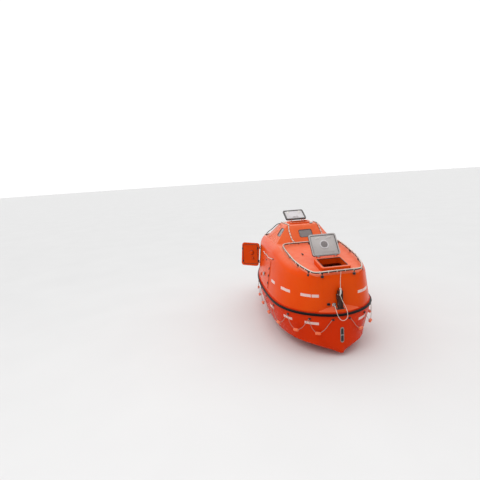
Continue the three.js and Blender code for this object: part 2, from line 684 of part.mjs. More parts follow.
const wheelSpokes = [0, 60, 120].map((turn) => {
  const angle = THREE.MathUtils.degToRad(turn);
  const reach = vec(0, wheel.radius, 0).applyAxisAngle(vec(1, 0, 0), angle);
  return rod(wheelCentre.clone().sub(reach), wheelCentre.clone().add(reach), wheel.spoke, 6);
});
addPiece('helm_console', joinAll([
  box(desk.x, [-desk.half, desk.half], [onSole, desk.z]),
  rod(vec(desk.x[0] + 10, 0, wheelCentre.z), wheelCentre, wheel.hub, 8),
  toSolid(wheelRim),
  ...wheelSpokes,
]), MATERIAL.dark);

// Hand rails round the fore and aft decks, each closed across the deck by a thinner bar
function deckRail({ path, feet }) {
  const { radius, height, foot, across } = RAIL;
  const onRail = ([x, y], side = 1) => vec(x, side * y, deckHeight(x) + height);
  const port = path.map((place) => onRail(place));
  const round = [...port, ...port.slice(0, -1).reverse().map(otherSide)];
  const bar = rod(onRail(path[0]), onRail(path[0], -1), across, 8);
  const posts = feet.flatMap((place) => [1, -1].map((side) => {
    const top = onRail(place, side);
    return rod(vec(top.x, top.y, top.z - height - 60), top, foot, 6);
  }));
  return joinAll([tube(round, radius, 60, 6), bar, ...posts]).subtract(canopyGrown);
}
addPiece('fore_deck_rail', deckRail(RAIL.fore), MATERIAL.dark);
addPiece('aft_deck_rail', deckRail(RAIL.aft), MATERIAL.dark);

// Grab rails down the aft edges of the wheelhouse sides
const wheelhouseGrown = wheelhouseSolid(-SEAT_GAP, WHEELHOUSE.baseZ - 60, WHEELHOUSE.roofZ + SEAT_GAP);
for (const [name, side] of [['starboard', -1], ['port', 1]]) {
  const out = vec(0, side * 0.8, 0.6).multiplyScalar(RAIL.roofOff);
  const top = vec(-310, side * 460, WHEELHOUSE.roofZ - 30);
  const foot = vec(-760, side * 815, WHEELHOUSE.baseZ + 60);
  const upper = top.clone().lerp(foot, 0.1).add(out);
  const lower = top.clone().lerp(foot, 0.9).add(out);
  const rail = tube([top, upper, upper.clone().lerp(lower, 0.5), lower, foot], RAIL.roofRadius, 14);
  addPiece(`roof_rail_${name}`, cutAll(rail, [wheelhouseGrown, canopyGrown]), MATERIAL.dark);
}

// Lifting hooks on the crescent decks at bow and stern: a post of two cheeks with the hook between
for (const [name, end] of [['bow', 1], ['stern', -1]]) {
  const { half, height, cheek, gap, base, seat } = HOOK;
  const at = makeFrame(vec(HOOK[name][0], 0, HOOK[name][1] + SEAT_GAP), vec(end, 0, 0), vec(0, 0, 1));
  const cheeks = [-1, 1].map((side) => {
    const span = [side * (gap / 2 + cheek), (side * gap) / 2].sort((a, b) => a - b);
    return frameBox(at, [-half, half], span, [0, height]);
  });
  const post = joinAll([
    ...cheeks,
    frameBox(at, [-base[0], base[0]], [-base[1], base[1]], [0, base[2]]),
    frameBox(at, [-half, half * 0.4], [-gap / 2 - 1, gap / 2 + 1], [10, height * seat]),
  ]);
  addPiece(`${name}_hook_post`, post.subtract(canopyGrown), MATERIAL.dark);
  const claw = new THREE.Shape();
  claw.moveTo(-half * 0.7, height * seat + SEAT_GAP);
  claw.lineTo(half * 0.4, height * seat + SEAT_GAP);
  claw.lineTo(half * 0.9, height * 0.9);
  claw.absarc(0, height + 18, half * 0.98, -0.35, Math.PI * 0.95, false);
  claw.lineTo(-half * 0.62, height + 6);
  claw.absarc(0, height + 20, half * 0.42, Math.PI * 0.9, 0, true);
  claw.lineTo(half * 0.3, height * 0.92);
  claw.lineTo(-half * 0.7, height * 0.86);
  const upright = makeFrame(at.origin, vec(end, 0, 0), vec(0, -end, 0));
  addPiece(`${name}_hook`, prism(upright, claw, [-HOOK.claw / 2, HOOK.claw / 2], 5), MATERIAL.steel);
}

// Stem fittings: steel rubbing plate, mooring fairlead and painter release on the fore face
const faceFrame = (y, z) => makeFrame(vec(0, y, z), vec(0, 1, 0), vec(1, 0, 0));
const plateShape = roundedRect(...STEM_PLATE.half, STEM_PLATE.corner);
const stemPlate = prism(faceFrame(0, STEM_PLATE.z), plateShape, STEM_PLATE.x, 4);
addPiece('stem_plate', stemPlate.subtract(hullGrown), MATERIAL.steel);
const lead = faceFrame(FAIRLEAD.y, FAIRLEAD.z);
const fairlead = prism(lead, roundedRect(...FAIRLEAD.half, FAIRLEAD.half[1] - 1), FAIRLEAD.x, 3);
const leadHole = prism(lead, roundedRect(...FAIRLEAD.hole, FAIRLEAD.hole[1] - 1), [2700, 2900], 3);
addPiece('fairlead', cutAll(fairlead, [leadHole, canopyGrown]), MATERIAL.dark);
const releaseAt = (x, up = 0) => vec(x, RELEASE.y, RELEASE.z - 3 + up);
const [drumRadius, drumEnd] = RELEASE.drum;
const [barRadius, barX, barReach] = RELEASE.bar;
addPiece('painter_release', joinAll([
  prism(faceFrame(RELEASE.y, RELEASE.z), roundedRect(...RELEASE.half, 12), RELEASE.x, 2),
  rod(releaseAt(RELEASE.x[1] - 7), releaseAt(drumEnd), drumRadius, 10),
  rod(releaseAt(barX, barReach + 2), releaseAt(barX, 2 - barReach), barRadius, 8),
]).subtract(canopyGrown), MATERIAL.steel);

// Lamp on the roof, vent block before the wheelhouse and deck cleats
const lampFoot = vec(LAMP.x, LAMP.y, WHEELHOUSE.roofZ - LAMP.sink);
const lampDome = new THREE.LatheGeometry([
  [0, 0], [46, 0], [46, 34], [38, 38], [36, 62], [25, 86], [0, 96],
].map(([r, z]) => new THREE.Vector2(r, z)), 16).rotateX(Math.PI / 2);
lampDome.translate(lampFoot.x, lampFoot.y, lampFoot.z);
const roofTop = wheelhouseSolid(-SEAT_GAP, WHEELHOUSE.baseZ, WHEELHOUSE.roofZ + SEAT_GAP);
addPiece('roof_lamp', toSolid(lampDome).subtract(roofTop), MATERIAL.white);
const ventBlock = box(VENT_BLOCK.x, [-VENT_BLOCK.half, VENT_BLOCK.half], VENT_BLOCK.z);
addPiece('vent_block', ventBlock.subtract(canopyGrown), MATERIAL.dark);
for (const [name, side] of [['starboard', -1], ['port', 1]]) {
  const { horn } = CLEAT;
  const onCleat = (along, up) => vec(CLEAT.x + along, side * CLEAT.y, deckHeight(CLEAT.x) + up);
  const cleat = joinAll([
    rod(onCleat(0, -40), onCleat(0, CLEAT.height), CLEAT.radius, 10),
    rod(onCleat(-horn.half, horn.z[0]), onCleat(horn.half, horn.z[1]), horn.radius, 8),
  ]);
  addPiece(`deck_cleat_${name}`, cleat.subtract(canopyGrown), MATERIAL.dark);
}

// Becketed lifelines: a rope looped along each side from pads under the fender, a float in each loop
function lifeline(side) {
  const { z, sag, radius, off, float, places } = LIFELINE;
  const spot = (x, drop, out) => vec(x, side * (breadth(HULL_LEVELS[0], x) + out), z - drop);
  const parts = places.map((x) => rod(spot(x - Math.sign(x) * 40, 0, -40), spot(x, 0, off), 20, 4, 15));
  for (let i = 0; i + 1 < places.length; i += 1) {
    const at = (share, out) => {
      const drop = sag * (1 - (2 * share - 1) ** 2);
      return spot(mix(places[i], places[i + 1], share), drop, out);
    };
    const loop = [at(0, off), at(0.25, off + 6), at(0.5, off + 6), at(0.75, off + 6), at(1, off)];
    const along = loop[3].clone().sub(loop[1]).normalize().multiplyScalar(float.length / 2);
    parts.push(tube(loop, radius, 6, 4));
    parts.push(rod(loop[2].clone().sub(along), loop[2].clone().add(along), float.radius, 6));
  }
  return joinAll(parts).subtract(hullGrown);
}
addPiece('lifeline_starboard', lifeline(-1), MATERIAL.float);
addPiece('lifeline_port', lifeline(1), MATERIAL.float);

// Painter: hangs from the fore rail past the hook, loops under the fender and ends at its release
const painterRoute = PAINTER.route.map((point) => vec(...point));
addPiece('painter_rope', tube(painterRoute, PAINTER.radius, 50, 6), MATERIAL.rope);

// Propeller: a hub with twisted blades
function blade(turn) {
  const { radius, hub } = PROPELLER;
  const sections = [ // distance out, chord, pitch angle, half thickness
    [hub * 0.6, 80, 58, 7], [radius * 0.45, 120, 42, 6], [radius * 0.8, 118, 30, 4], [radius, 52, 24, 2.5],
  ];
  const rings = sections.map(([out, chord, pitch, thick]) => {
    const lean = THREE.MathUtils.degToRad(pitch);
    return [[-0.5, 0], [-0.2, 1], [0.25, 1], [0.5, 0], [0.25, -1], [-0.2, -1]].map(([share, face]) => {
      const [across, through] = [share * chord, face * thick];
      return vec(
        across * Math.sin(lean) + through * Math.cos(lean),
        across * Math.cos(lean) - through * Math.sin(lean),
        out,
      ).applyAxisAngle(vec(1, 0, 0), turn);
    });
  });
  return loft(rings);
}
const blades = [];
for (let i = 0; i < PROPELLER.blades; i += 1) blades.push(blade((i / PROPELLER.blades) * 2 * Math.PI));
const hubHalf = PROPELLER.hubLength / 2;
const propeller = joinAll([
  ...blades,
  rod(vec(hubHalf, 0, 0), vec(-hubHalf, 0, 0), PROPELLER.hub, 14, PROPELLER.hub * 0.6),
  rod(vec(hubHalf - 2, 0, 0), vec(STERN_TUBE.aft - SEAT_GAP - PROPELLER.x, 0, 0), PROPELLER.shaft, 10),
]).translate([PROPELLER.x, 0, PROPELLER.z]);
addPiece('propeller', propeller, MATERIAL.bronze);

// Steering nozzle: a ring round the propeller with a fin behind it, hung on its stock
const ringHalf = NOZZLE.length / 2;
const nozzleProfile = [
  [NOZZLE.inner, -ringHalf], [NOZZLE.inner + NOZZLE.lip, -ringHalf], [NOZZLE.outer, -60], [NOZZLE.outer, 40],
  [NOZZLE.inner + NOZZLE.lip, ringHalf], [NOZZLE.inner, ringHalf], [NOZZLE.inner, -ringHalf],
].map(([r, x]) => new THREE.Vector2(r, x));
const nozzleRing = new THREE.LatheGeometry(nozzleProfile, 28).rotateZ(-Math.PI / 2);
const { fin } = NOZZLE;
const nozzle = joinAll([
  toSolid(nozzleRing),
  box([-fin.aft, -fin.fore], [-fin.thick / 2, fin.thick / 2], [-fin.half, fin.half]),
  rod(vec(0, 0, NOZZLE.inner + 6), vec(0, 0, STERN_BOSS.low - SEAT_GAP - PROPELLER.z), NOZZLE.stock, 14),
]).translate([PROPELLER.x, 0, PROPELLER.z]);
addPiece('steering_nozzle', nozzle, MATERIAL.dark);

export default boat;
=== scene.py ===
"""Enclosed lifeboat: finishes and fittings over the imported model.

Metres, +X to the bow, +Y to port, +Z up. The origin is on the waterline amidships.
"""

from __future__ import annotations

import json
import logging
import math
from dataclasses import dataclass, field
from enum import Enum
from functools import cached_property
from typing import Optional, Sequence, Union

import bmesh
import bpy
from mathutils import Matrix, Vector
from mathutils.bvhtree import BVHTree

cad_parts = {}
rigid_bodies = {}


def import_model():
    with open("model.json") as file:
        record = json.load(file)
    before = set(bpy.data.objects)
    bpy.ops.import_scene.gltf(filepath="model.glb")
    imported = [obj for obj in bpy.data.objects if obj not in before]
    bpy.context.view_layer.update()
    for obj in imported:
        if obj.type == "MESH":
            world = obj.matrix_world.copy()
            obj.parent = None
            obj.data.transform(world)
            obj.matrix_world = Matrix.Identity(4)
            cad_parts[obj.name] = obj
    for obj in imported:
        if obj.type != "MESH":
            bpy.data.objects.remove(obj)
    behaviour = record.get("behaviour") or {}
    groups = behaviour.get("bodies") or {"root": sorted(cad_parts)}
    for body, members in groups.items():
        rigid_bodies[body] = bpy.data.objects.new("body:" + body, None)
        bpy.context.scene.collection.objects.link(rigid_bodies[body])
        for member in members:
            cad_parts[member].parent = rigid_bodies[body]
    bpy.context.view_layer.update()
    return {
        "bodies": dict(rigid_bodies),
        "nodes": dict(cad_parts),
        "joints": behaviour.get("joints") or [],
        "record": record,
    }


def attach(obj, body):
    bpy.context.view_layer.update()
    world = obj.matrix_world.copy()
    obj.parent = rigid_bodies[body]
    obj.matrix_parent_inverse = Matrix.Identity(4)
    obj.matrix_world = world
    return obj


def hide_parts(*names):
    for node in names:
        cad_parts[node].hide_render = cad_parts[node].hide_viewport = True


LOG = logging.getLogger("lifeboat")

Socket = bpy.types.NodeSocket
Value = Union[Socket, float, Sequence[float]]
Triple = tuple[float, float, float]
Pair = tuple[float, float]
Outline = tuple[Pair, ...]
SIDES = (("starboard", -1), ("port", 1))


def tint(*levels: int) -> Triple:
    """Gives the linear colour of a display colour, whose levels go from 0 to 255."""
    shares = [level / 255 for level in levels]
    return tuple(a / 12.92 if a <= 0.04045 else ((a + 0.055) / 1.055) ** 2.4 for a in shares)


# Lines of the boat, as the solids have them

DECK_Z = 1.84
FORE_KNEE, FORE_FACE, FORE_END_Z = 0.84, 2.8, 1.48
AFT_KNEE, AFT_FACE, AFT_END_Z = -1.15, -2.7, 1.5
WIDEST_X = 0.88
RAIL_LIFT = 0.06
AHEAD, TO_PORT, UPWARD = Vector((1, 0, 0)), Vector((0, 1, 0)), Vector((0, 0, 1))
FORE_LID_LOOK = (0.81, 0, 0.58)
ROOF_LID_LOOK = (0.5, 0, 0.87)


def blend(start: float, end: float, share: float) -> float:
    """Gives the value at a share of the way from start to end."""
    return start + (end - start) * share


def deck_height(x: float) -> float:
    """Gives the height of the deck edge at a place along the boat.

    Args:
        x: The place along the boat.

    Returns:
        The height of the deck edge.
    """
    if x > FORE_KNEE:
        return blend(DECK_Z, FORE_END_Z, (x - FORE_KNEE) / (FORE_FACE - FORE_KNEE))
    if x < AFT_KNEE:
        return blend(DECK_Z, AFT_END_Z, (x - AFT_KNEE) / (AFT_FACE - AFT_KNEE))
    return DECK_Z


@dataclass(frozen=True)
class PlanCurve:
    """A half breadth that closes towards both ends."""

    half: float
    fore: Triple
    aft: Triple

    def breadth(self, x: float) -> float:
        """Gives the half breadth at a place along the boat.

        Args:
            x: The place along the boat.

        Returns:
            The half breadth, or nothing past the ends.
        """
        reach, power, root = self.fore if x > WIDEST_X else self.aft
        share = abs(x - WIDEST_X) / reach
        return self.half * (1 - share**power) ** root if share < 1 else 0.0


GUNWALE = PlanCurve(1.264, (2.074, 3.3, 0.6), (3.834, 2.05, 0.52))


def smooth_line(points: Sequence[Sequence[float]], step: float) -> list[Vector]:
    """Runs a centripetal curve through points and samples it evenly.

    Args:
        points: The points that the curve passes through.
        step: The distance between samples.

    Returns:
        Points an even distance apart, ends included.
    """
    knots = [Vector(point) for point in points]
    ends = [knots[0] * 2 - knots[1], *knots, knots[-1] * 2 - knots[-2]]
    fine: list[Vector] = []
    for a, b, c, d in zip(ends, ends[1:], ends[2:], ends[3:]):
        gaps = [max((q - p).length ** 0.5, 1e-4) for p, q in ((a, b), (b, c), (c, d))]
        start = ((b - a) / gaps[0] - (c - a) / (gaps[0] + gaps[1]) + (c - b) / gaps[1]) * gaps[1]
        finish = ((c - b) / gaps[1] - (d - b) / (gaps[1] + gaps[2]) + (d - c) / gaps[2]) * gaps[1]
        for i in range(24):
            t = i / 24
            lead = b + start * t
            rise = (c - b) * 3 - start * 2 - finish
            turn = (b - c) * 2 + start + finish
            fine.append(lead + rise * t**2 + turn * t**3)
    fine.append(knots[-1].copy())
    return evenly(fine, step)


def evenly(line: Sequence[Vector], step: float) -> list[Vector]:
    """Spaces points evenly along a broken line.

    Args:
        line: The broken line.
        step: The distance between samples.

    Returns:
        Points an even distance apart, ends included.
    """
    lengths = [(b - a).length for a, b in zip(line, line[1:])]
    whole = sum(lengths)
    count = max(2, round(whole / step))
    spots: list[Vector] = []
    place, passed = 0, 0.0
    for i in range(count + 1):
        aim = whole * i / count
        while place < len(lengths) - 1 and passed + lengths[place] < aim:
            passed += lengths[place]
            place += 1
        share = min(1.0, (aim - passed) / max(lengths[place], 1e-9))
        spots.append(line[place].lerp(line[place + 1], share))
    return spots


# Mesh drafts


@dataclass
class Plane:
    """A place to build on: an origin, two directions along a face and its outward direction."""

    origin: Vector
    across: Vector
    up: Vector
    out: Vector
    half_across: float = 0.0
    half_up: float = 0.0

    @classmethod
    def facing(cls, origin: Sequence[float], out: Sequence[float], up: Sequence[float] = (0, 0, 1)) -> Plane:
        """Makes a plane from its outward direction.

        Args:
            origin: The plane's middle.
            out: The outward direction.
            up: The direction that its upward axis leans to.

        Returns:
            The plane, with its axes at right angles.
        """
        normal = Vector(out).normalized()
        guide = Vector(up)
        if abs(normal.dot(guide.normalized())) > 0.98:
            guide = AHEAD
        across = guide.cross(normal).normalized()
        return cls(Vector(origin), across, normal.cross(across), normal)

    def at(self, across: float, up: float, out: float = 0.0) -> Vector:
        """Gives the point at three distances from the origin."""
        return self.origin + self.across * across + self.up * up + self.out * out

    def moved(self, across: float, up: float, out: float) -> Plane:
        """Gives the same plane about another point of it."""
        return Plane(self.at(across, up, out), self.across, self.up, self.out)

    def circle(self, radius: float, out: float, count: int, tall: Optional[float] = None) -> list[Vector]:
        """Gives points round a circle, or an oval that is as tall as is said."""
        turns = [2 * math.pi * k / count for k in range(count)]
        return [self.at(radius * math.cos(t), (tall or radius) * math.sin(t), out) for t in turns]

    def arch(self, half: float, rise: float, up: float, out: float) -> list[Vector]:
        """Gives points of half a round that stands out of the plane."""
        turns = [math.pi * k / 8 for k in range(9)]
        return [self.at(half * math.cos(t), up, out + rise * math.sin(t)) for t in turns]


def rounded_outline(half_a: float, half_b: float, corner: float, steps: int = 5) -> list[Pair]:
    """Gives the outline of a rectangle with round corners.

    Args:
        half_a: Half the width.
        half_b: Half the height.
        corner: The corners' radius.
        steps: Points in each corner, less one.

    Returns:
        Points round the outline.
    """
    outline = []
    for quarter, (side_a, side_b) in enumerate(((1, 1), (-1, 1), (-1, -1), (1, -1))):
        for i in range(steps + 1):
            turn = (quarter + i / steps) * math.pi / 2
            a = side_a * (half_a - corner) + corner * math.cos(turn)
            b = side_b * (half_b - corner) + corner * math.sin(turn)
            outline.append((a, b))
    return outline


@dataclass
class Draft:
    """Points and faces of one piece, gathered before its mesh is made."""

    points: list[Vector] = field(default_factory=list)
    faces: list[list[int]] = field(default_factory=list)

    def skin(self, rings: Sequence[Sequence[Vector]], looped: bool = False, capped: bool = True) -> None:
        """Skins a row of rings.

        Args:
            rings: Rings with equal counts of points.
            looped: Whether the last ring meets the first.
            capped: Whether both ends are closed.
        """
        start, count = len(self.points), len(rings[0])
        for ring in rings:
            self.points.extend(ring)
        last = len(rings) if looped else len(rings) - 1
        for r in range(last):
            low = start + r * count
            high = start + ((r + 1) % len(rings)) * count
            for k in range(count):
                n = (k + 1) % count
                self.faces.append([low + k, low + n, high + n, high + k])
        if capped and not looped:
            self.faces.append([start + k for k in reversed(range(count))])
            self.faces.append([start + (len(rings) - 1) * count + k for k in range(count)])

    @staticmethod
    def _carried(path: Sequence[Vector], looped: bool) -> list[tuple[Vector, Vector]]:
        """Carries a pair of crosswise directions along a path without twisting it.

        Args:
            path: Points of the path.
            looped: Whether its end meets its start.

        Returns:
            One pair of directions for each point.
        """
        count = len(path)
        pairs: list[tuple[Vector, Vector]] = []
        side = Vector()
        for i in range(count):
            before = path[i - 1] if looped or i else path[0]
            after = path[(i + 1) % count] if looped or i + 1 < count else path[-1]
            along = (after - before).normalized()
            if i == 0:
                guide = UPWARD if abs(along.z) < 0.9 else AHEAD
                side = along.cross(guide).normalized()
            else:
                side = (side - along * side.dot(along)).normalized()
            pairs.append((side.copy(), along.cross(side)))
        return pairs

    def tube(self, path: Sequence[Vector], radius: float, sides: int = 10, looped: bool = False) -> None:
        """Runs a round tube along a path.

        Args:
            path: Points of the centreline.
            radius: The tube's radius.
            sides: Points round it.
            looped: Whether its end meets its start.
        """
        rings = []
        for spot, (first, second) in zip(path, self._carried(path, looped)):
            ring = []
            for k in range(sides):
                turn = 2 * math.pi * k / sides
                ring.append(spot + (first * math.cos(turn) + second * math.sin(turn)) * radius)
            rings.append(ring)
        self.skin(rings, looped)

    def laid(self, path: Sequence[Vector], radius: float, strands: int = 3, sides: int = 12) -> None:
        """Runs a rope of twisted strands along a path.

        Args:
            path: Points of the centreline, about half a diameter apart.
            radius: The rope's radius.
            strands: How many strands show.
            sides: Points round it.
        """
        rings = []
        passed = 0.0
        for i, (spot, (first, second)) in enumerate(zip(path, self._carried(path, False))):
            passed += (spot - path[i - 1]).length if i else 0.0
            twist = passed / (radius * 7)
            ring = []
            for k in range(sides):
                turn = 2 * math.pi * k / sides
                bulge = radius * (0.87 + 0.13 * abs(math.cos(strands * (turn - twist * 2 * math.pi) / 2)))
                ring.append(spot + (first * math.cos(turn) + second * math.sin(turn)) * bulge)
            rings.append(ring)
        self.skin(rings)

    def lathe(self, plane: Plane, profile: Sequence[Pair], steps: int = 24) -> None:
        """Turns a profile, pairs of radius and distance out, round a plane's outward direction."""
        self.skin([plane.circle(radius, out, steps) for radius, out in profile])

    def slab(self, plane: Plane, half: Pair, span: Pair, corner: float,
             edge: float = 0.002) -> None:
        """Makes a plate with round corners and softened edges.

        Args:
            plane: The plane that it lies along.
            half: Half its width and half its height.
            span: Where it starts and ends, outward.
            corner: The corners' radius.
            edge: How far its edges are softened.
        """
        low, high = span
        rings = []
        brow = edge * 0.3
        for inset, out in ((edge, low), (0, low + edge), (0, high - edge), (brow, high - brow), (edge, high)):
            outline = rounded_outline(half[0] - inset, half[1] - inset, max(corner - inset, edge * 0.5))
            rings.append([plane.at(a, b, out) for a, b in outline])
        self.skin(rings)

    def hoop(self, outline: Sequence[Vector], radius: float, sides: int = 8) -> None:
        """Runs a closed tube round an outline."""
        self.tube(outline, radius, sides, looped=True)

    def rim(self, plane: Plane, half: Pair, corner: float, out: float, radius: float) -> None:
        """Runs a closed tube round a rectangle with round corners, at a distance out of its plane."""
        self.hoop([plane.at(a, b, out) for a, b in rounded_outline(*half, corner, 8)], radius)

    def bolt(self, plane: Plane, radius: float, rise: float) -> None:
        """Makes a hexagonal head on a washer.

        Args:
            plane: The plane that it stands on.
            radius: The head's radius.
            rise: The head's height.
        """
        washer = [(radius * 1.35, -0.001), (radius * 1.35, rise * 0.25), (radius * 1.2, rise * 0.3)]
        self.lathe(plane, washer, 16)
        head = [(radius, rise * 0.28), (radius, rise * 0.85), (radius * 0.8, rise)]
        self.lathe(plane, head, 6)

    def wad(self, plane: Plane, half: Pair, depth: float, crown: float,
            steps: int = 14) -> None:
        """Makes a stuffed pad: crowned on top, with sides that pull in between its corners.

        Args:
            plane: The plane that it lies on.
            half: Half its width and half its length.
            depth: How thick it is at its seam.
            crown: How far its middle stands above its edge.
            steps: Faces across it.
        """
        start = len(self.points)
        size = steps + 1
        for face in (1, -1):
            for i in range(size):
                for j in range(size):
                    a, b = i / steps * 2 - 1, j / steps * 2 - 1
                    pull = 1 - 0.035 * (1 - abs(a * b))
                    fall = (1 - a**6) * (1 - b**6)
                    out = depth / 2 + (depth / 2) * (fall**0.35) * face
                    if face > 0:
                        out += crown * fall * (1 - 0.12 * math.cos(3 * math.pi * a))
                    spread_a = half[0] * a * (pull if abs(a) > 0.9 else 1)
                    spread_b = half[1] * b * (pull if abs(b) > 0.9 else 1)
                    self.points.append(plane.at(spread_a, spread_b, out))
        for face in (0, 1):
            base = start + face * size * size
            for i in range(steps):
                for j in range(steps):
                    k = base + i * size + j
                    quad = [k, k + size, k + size + 1, k + 1]
                    self.faces.append(quad if face == 0 else quad[::-1])

    def mesh(self, name: str, sharp: float = 38.0) -> bpy.types.Mesh:
        """Makes the mesh, with smooth faces up to an angle.

        Args:
            name: The mesh's name.
            sharp: The angle in degrees past which an edge stays sharp.

        Returns:
            The finished mesh.
        """
        made = bpy.data.meshes.new(name)
        made.from_pydata([tuple(point) for point in self.points], [], self.faces)
        shaped = bmesh.new()
        shaped.from_mesh(made)
        bmesh.ops.remove_doubles(shaped, verts=shaped.verts, dist=1e-5)
        bmesh.ops.recalc_face_normals(shaped, faces=shaped.faces)
        shaped.to_mesh(made)
        shaped.free()
        made.shade_smooth()
        made.set_sharp_from_angle(angle=math.radians(sharp))
        return made


class Surface:
    """The outside of some solids, for setting pieces on it."""

    def __init__(self, nodes: Sequence[bpy.types.Object]) -> None:
        """Gathers the faces of the solids.

        Args:
            nodes: The solids.
        """
        points: list[Vector] = []
        faces: list[list[int]] = []
        for node in nodes:
            start = len(points)
            points.extend(vertex.co.copy() for vertex in node.data.vertices)
            faces.extend([start + i for i in polygon.vertices] for polygon in node.data.polygons)
        self._tree = BVHTree.FromPolygons(points, faces)

    def abeam(self, x: float, z: float, side: int) -> Optional[tuple[Vector, Vector]]:
        """Finds the outermost face of one side, at a place along the boat and a height."""
        return self.cast(Vector((x, side * 2, z)), Vector((0, -side, 0)))

    def cast(self, origin: Vector, direction: Vector) -> Optional[tuple[Vector, Vector]]:
        """Finds the first face along a line.

        Args:
            origin: Where the line starts.
            direction: Where it goes.

        Returns:
            The point and the outward direction there, or nothing.
        """
        point, normal, _, _ = self._tree.ray_cast(origin, direction.normalized())
        if point is None:
            return None
        return point, (normal if normal.dot(direction) < 0 else -normal)

    def near(self, point: Vector, lift: float) -> Vector:
        """Gives the nearest point of the surface, lifted off it towards the given point.

        Args:
            point: The given point.
            lift: How far it is lifted.

        Returns:
            The lifted point.
        """
        found, normal, _, _ = self._tree.find_nearest(point)
        away = point - found
        if away.dot(normal) < 0 and away.length > 0.02:
            normal = -normal
        return found + normal * lift


def leaf_plane(node: bpy.types.Object, hint: Sequence[float]) -> Plane:
    """Finds the plane of a door's or lid's face.

    Args:
        node: The solid.
        hint: About where the face looks.

    Returns:
        The plane through the face's middle, with its half sizes.
    """
    aim = Vector(hint).normalized()
    normal, middle, area = Vector(), Vector(), 0.0
    corners: list[Vector] = []
    for polygon in node.data.polygons:
        if polygon.normal.dot(aim) > 0.93:
            normal += polygon.normal * polygon.area
            middle += polygon.center * polygon.area
            area += polygon.area
            corners.extend(node.data.vertices[i].co for i in polygon.vertices)
    plane = Plane.facing(middle / area, normal)
    spread_a = [(corner - plane.origin).dot(plane.across) for corner in corners]
    spread_b = [(corner - plane.origin).dot(plane.up) for corner in corners]
    plane.origin = plane.at((max(spread_a) + min(spread_a)) / 2, (max(spread_b) + min(spread_b)) / 2)
    plane.half_across = (max(spread_a) - min(spread_a)) / 2
    plane.half_up = (max(spread_b) - min(spread_b)) / 2
    return plane


# Shader graphs


class Graph:
    """Short calls for laying out one node tree."""

    def __init__(self, tree: bpy.types.NodeTree) -> None:
        """Keeps the tree."""
        self.tree = tree

    def add(self, kind: str, **settings: object) -> bpy.types.Node:
        """Adds a node with its settings.

        Args:
            kind: The node's type.
            settings: Its properties.

        Returns:
            The new node.
        """
        node = self.tree.nodes.new(kind)
        for key, value in settings.items():
            setattr(node, key, value)
        return node

    def feed(self, target: Socket, value: Value) -> None:
        """Links a socket, or sets it where the value is plain.

        Args:
            target: The socket.
            value: What it is given.
        """
        if isinstance(value, bpy.types.NodeSocket):
            self.tree.links.new(value, target)
        else:
            target.default_value = value

    def math(self, kind: str, first: Value, second: Value = 0.0) -> Socket:
        """Works out one sum of two values.

        Args:
            kind: The sum.
            first: The first value.
            second: The second value.

        Returns:
            The result.
        """
        node = self.add("ShaderNodeMath", operation=kind)
        self.feed(node.inputs[0], first)
        self.feed(node.inputs[1], second)
        return node.outputs[0]

    def vector(self, kind: str, first: Value, second: Value) -> bpy.types.Node:
        """Works out one sum of two vectors and gives its node.

        Args:
            kind: The sum.
            first: The first vector.
            second: The second vector.

        Returns:
            The node.
        """
        node = self.add("ShaderNodeVectorMath", operation=kind)
        self.feed(node.inputs[0], first)
        self.feed(node.inputs[1], second)
        return node

    def noise(self, place: Value, scale: Value, detail: float = 3.0,
              stretch: Optional[Triple] = None) -> Socket:
        """Adds soft noise.

        Args:
            place: The position that it is read at.
            scale: Its scale.
            detail: How many finer layers it has.
            stretch: How each axis of the position is scaled first.

        Returns:
            The noise, about 0.5 on average.
        """
        if stretch is not None:
            place = self.vector("MULTIPLY", place, stretch).outputs[0]
        node = self.add("ShaderNodeTexNoise")
        self.feed(node.inputs["Vector"], place)
        self.feed(node.inputs["Scale"], scale)
        node.inputs["Detail"].default_value = detail
        return node.outputs[0]

    def fit(self, value: Value, low: float, high: float, start: Value = 0.0, end: Value = 1.0) -> Socket:
        """Fits a range of a value to another range, eased at both ends.

        Args:
            value: The value.
            low: Where its range starts.
            high: Where its range ends.
            start: The result at the low end.
            end: The result at the high end.

        Returns:
            The fitted value.
        """
        node = self.add("ShaderNodeMapRange", interpolation_type="SMOOTHSTEP")
        self.feed(node.inputs["Value"], value)
        node.inputs["From Min"].default_value = low
        node.inputs["From Max"].default_value = high
        self.feed(node.inputs["To Min"], start)
        self.feed(node.inputs["To Max"], end)
        return node.outputs["Result"]

    def mix(self, share: Value, first: Value, second: Value) -> Socket:
        """Mixes two colours.

        Args:
            share: The second colour's share.
            first: The first colour.
            second: The second colour.

        Returns:
            The mixed colour.
        """
        node = self.add("ShaderNodeMix", data_type="RGBA")
        self.feed(node.inputs[0], share)
        for place, colour in ((6, first), (7, second)):
            self.feed(node.inputs[place], (*colour, 1.0) if isinstance(colour, tuple) else colour)
        return node.outputs[2]

    def group(self, tree: bpy.types.NodeTree, **values: Value) -> bpy.types.Node:
        """Places a shared group and feeds its inputs.

        Args:
            tree: The group.
            values: What each input is given.

        Returns:
            The group's node.
        """
        node = self.add("ShaderNodeGroup", node_tree=tree)
        for key, value in values.items():
            self.feed(node.inputs[key], value)
        return node


class Kind(Enum):
    """Types of a group's sockets."""

    NUMBER = "NodeSocketFloat"
    COLOUR = "NodeSocketColor"
    VECTOR = "NodeSocketVector"


class Relief(Enum):
    """Fine relief of a finish."""

    PEEL = "peel"
    CAST = "cast"
    BRUSHED = "brushed"
    FIBRE = "fibre"
    WEAVE = "weave"
    BEADS = "beads"


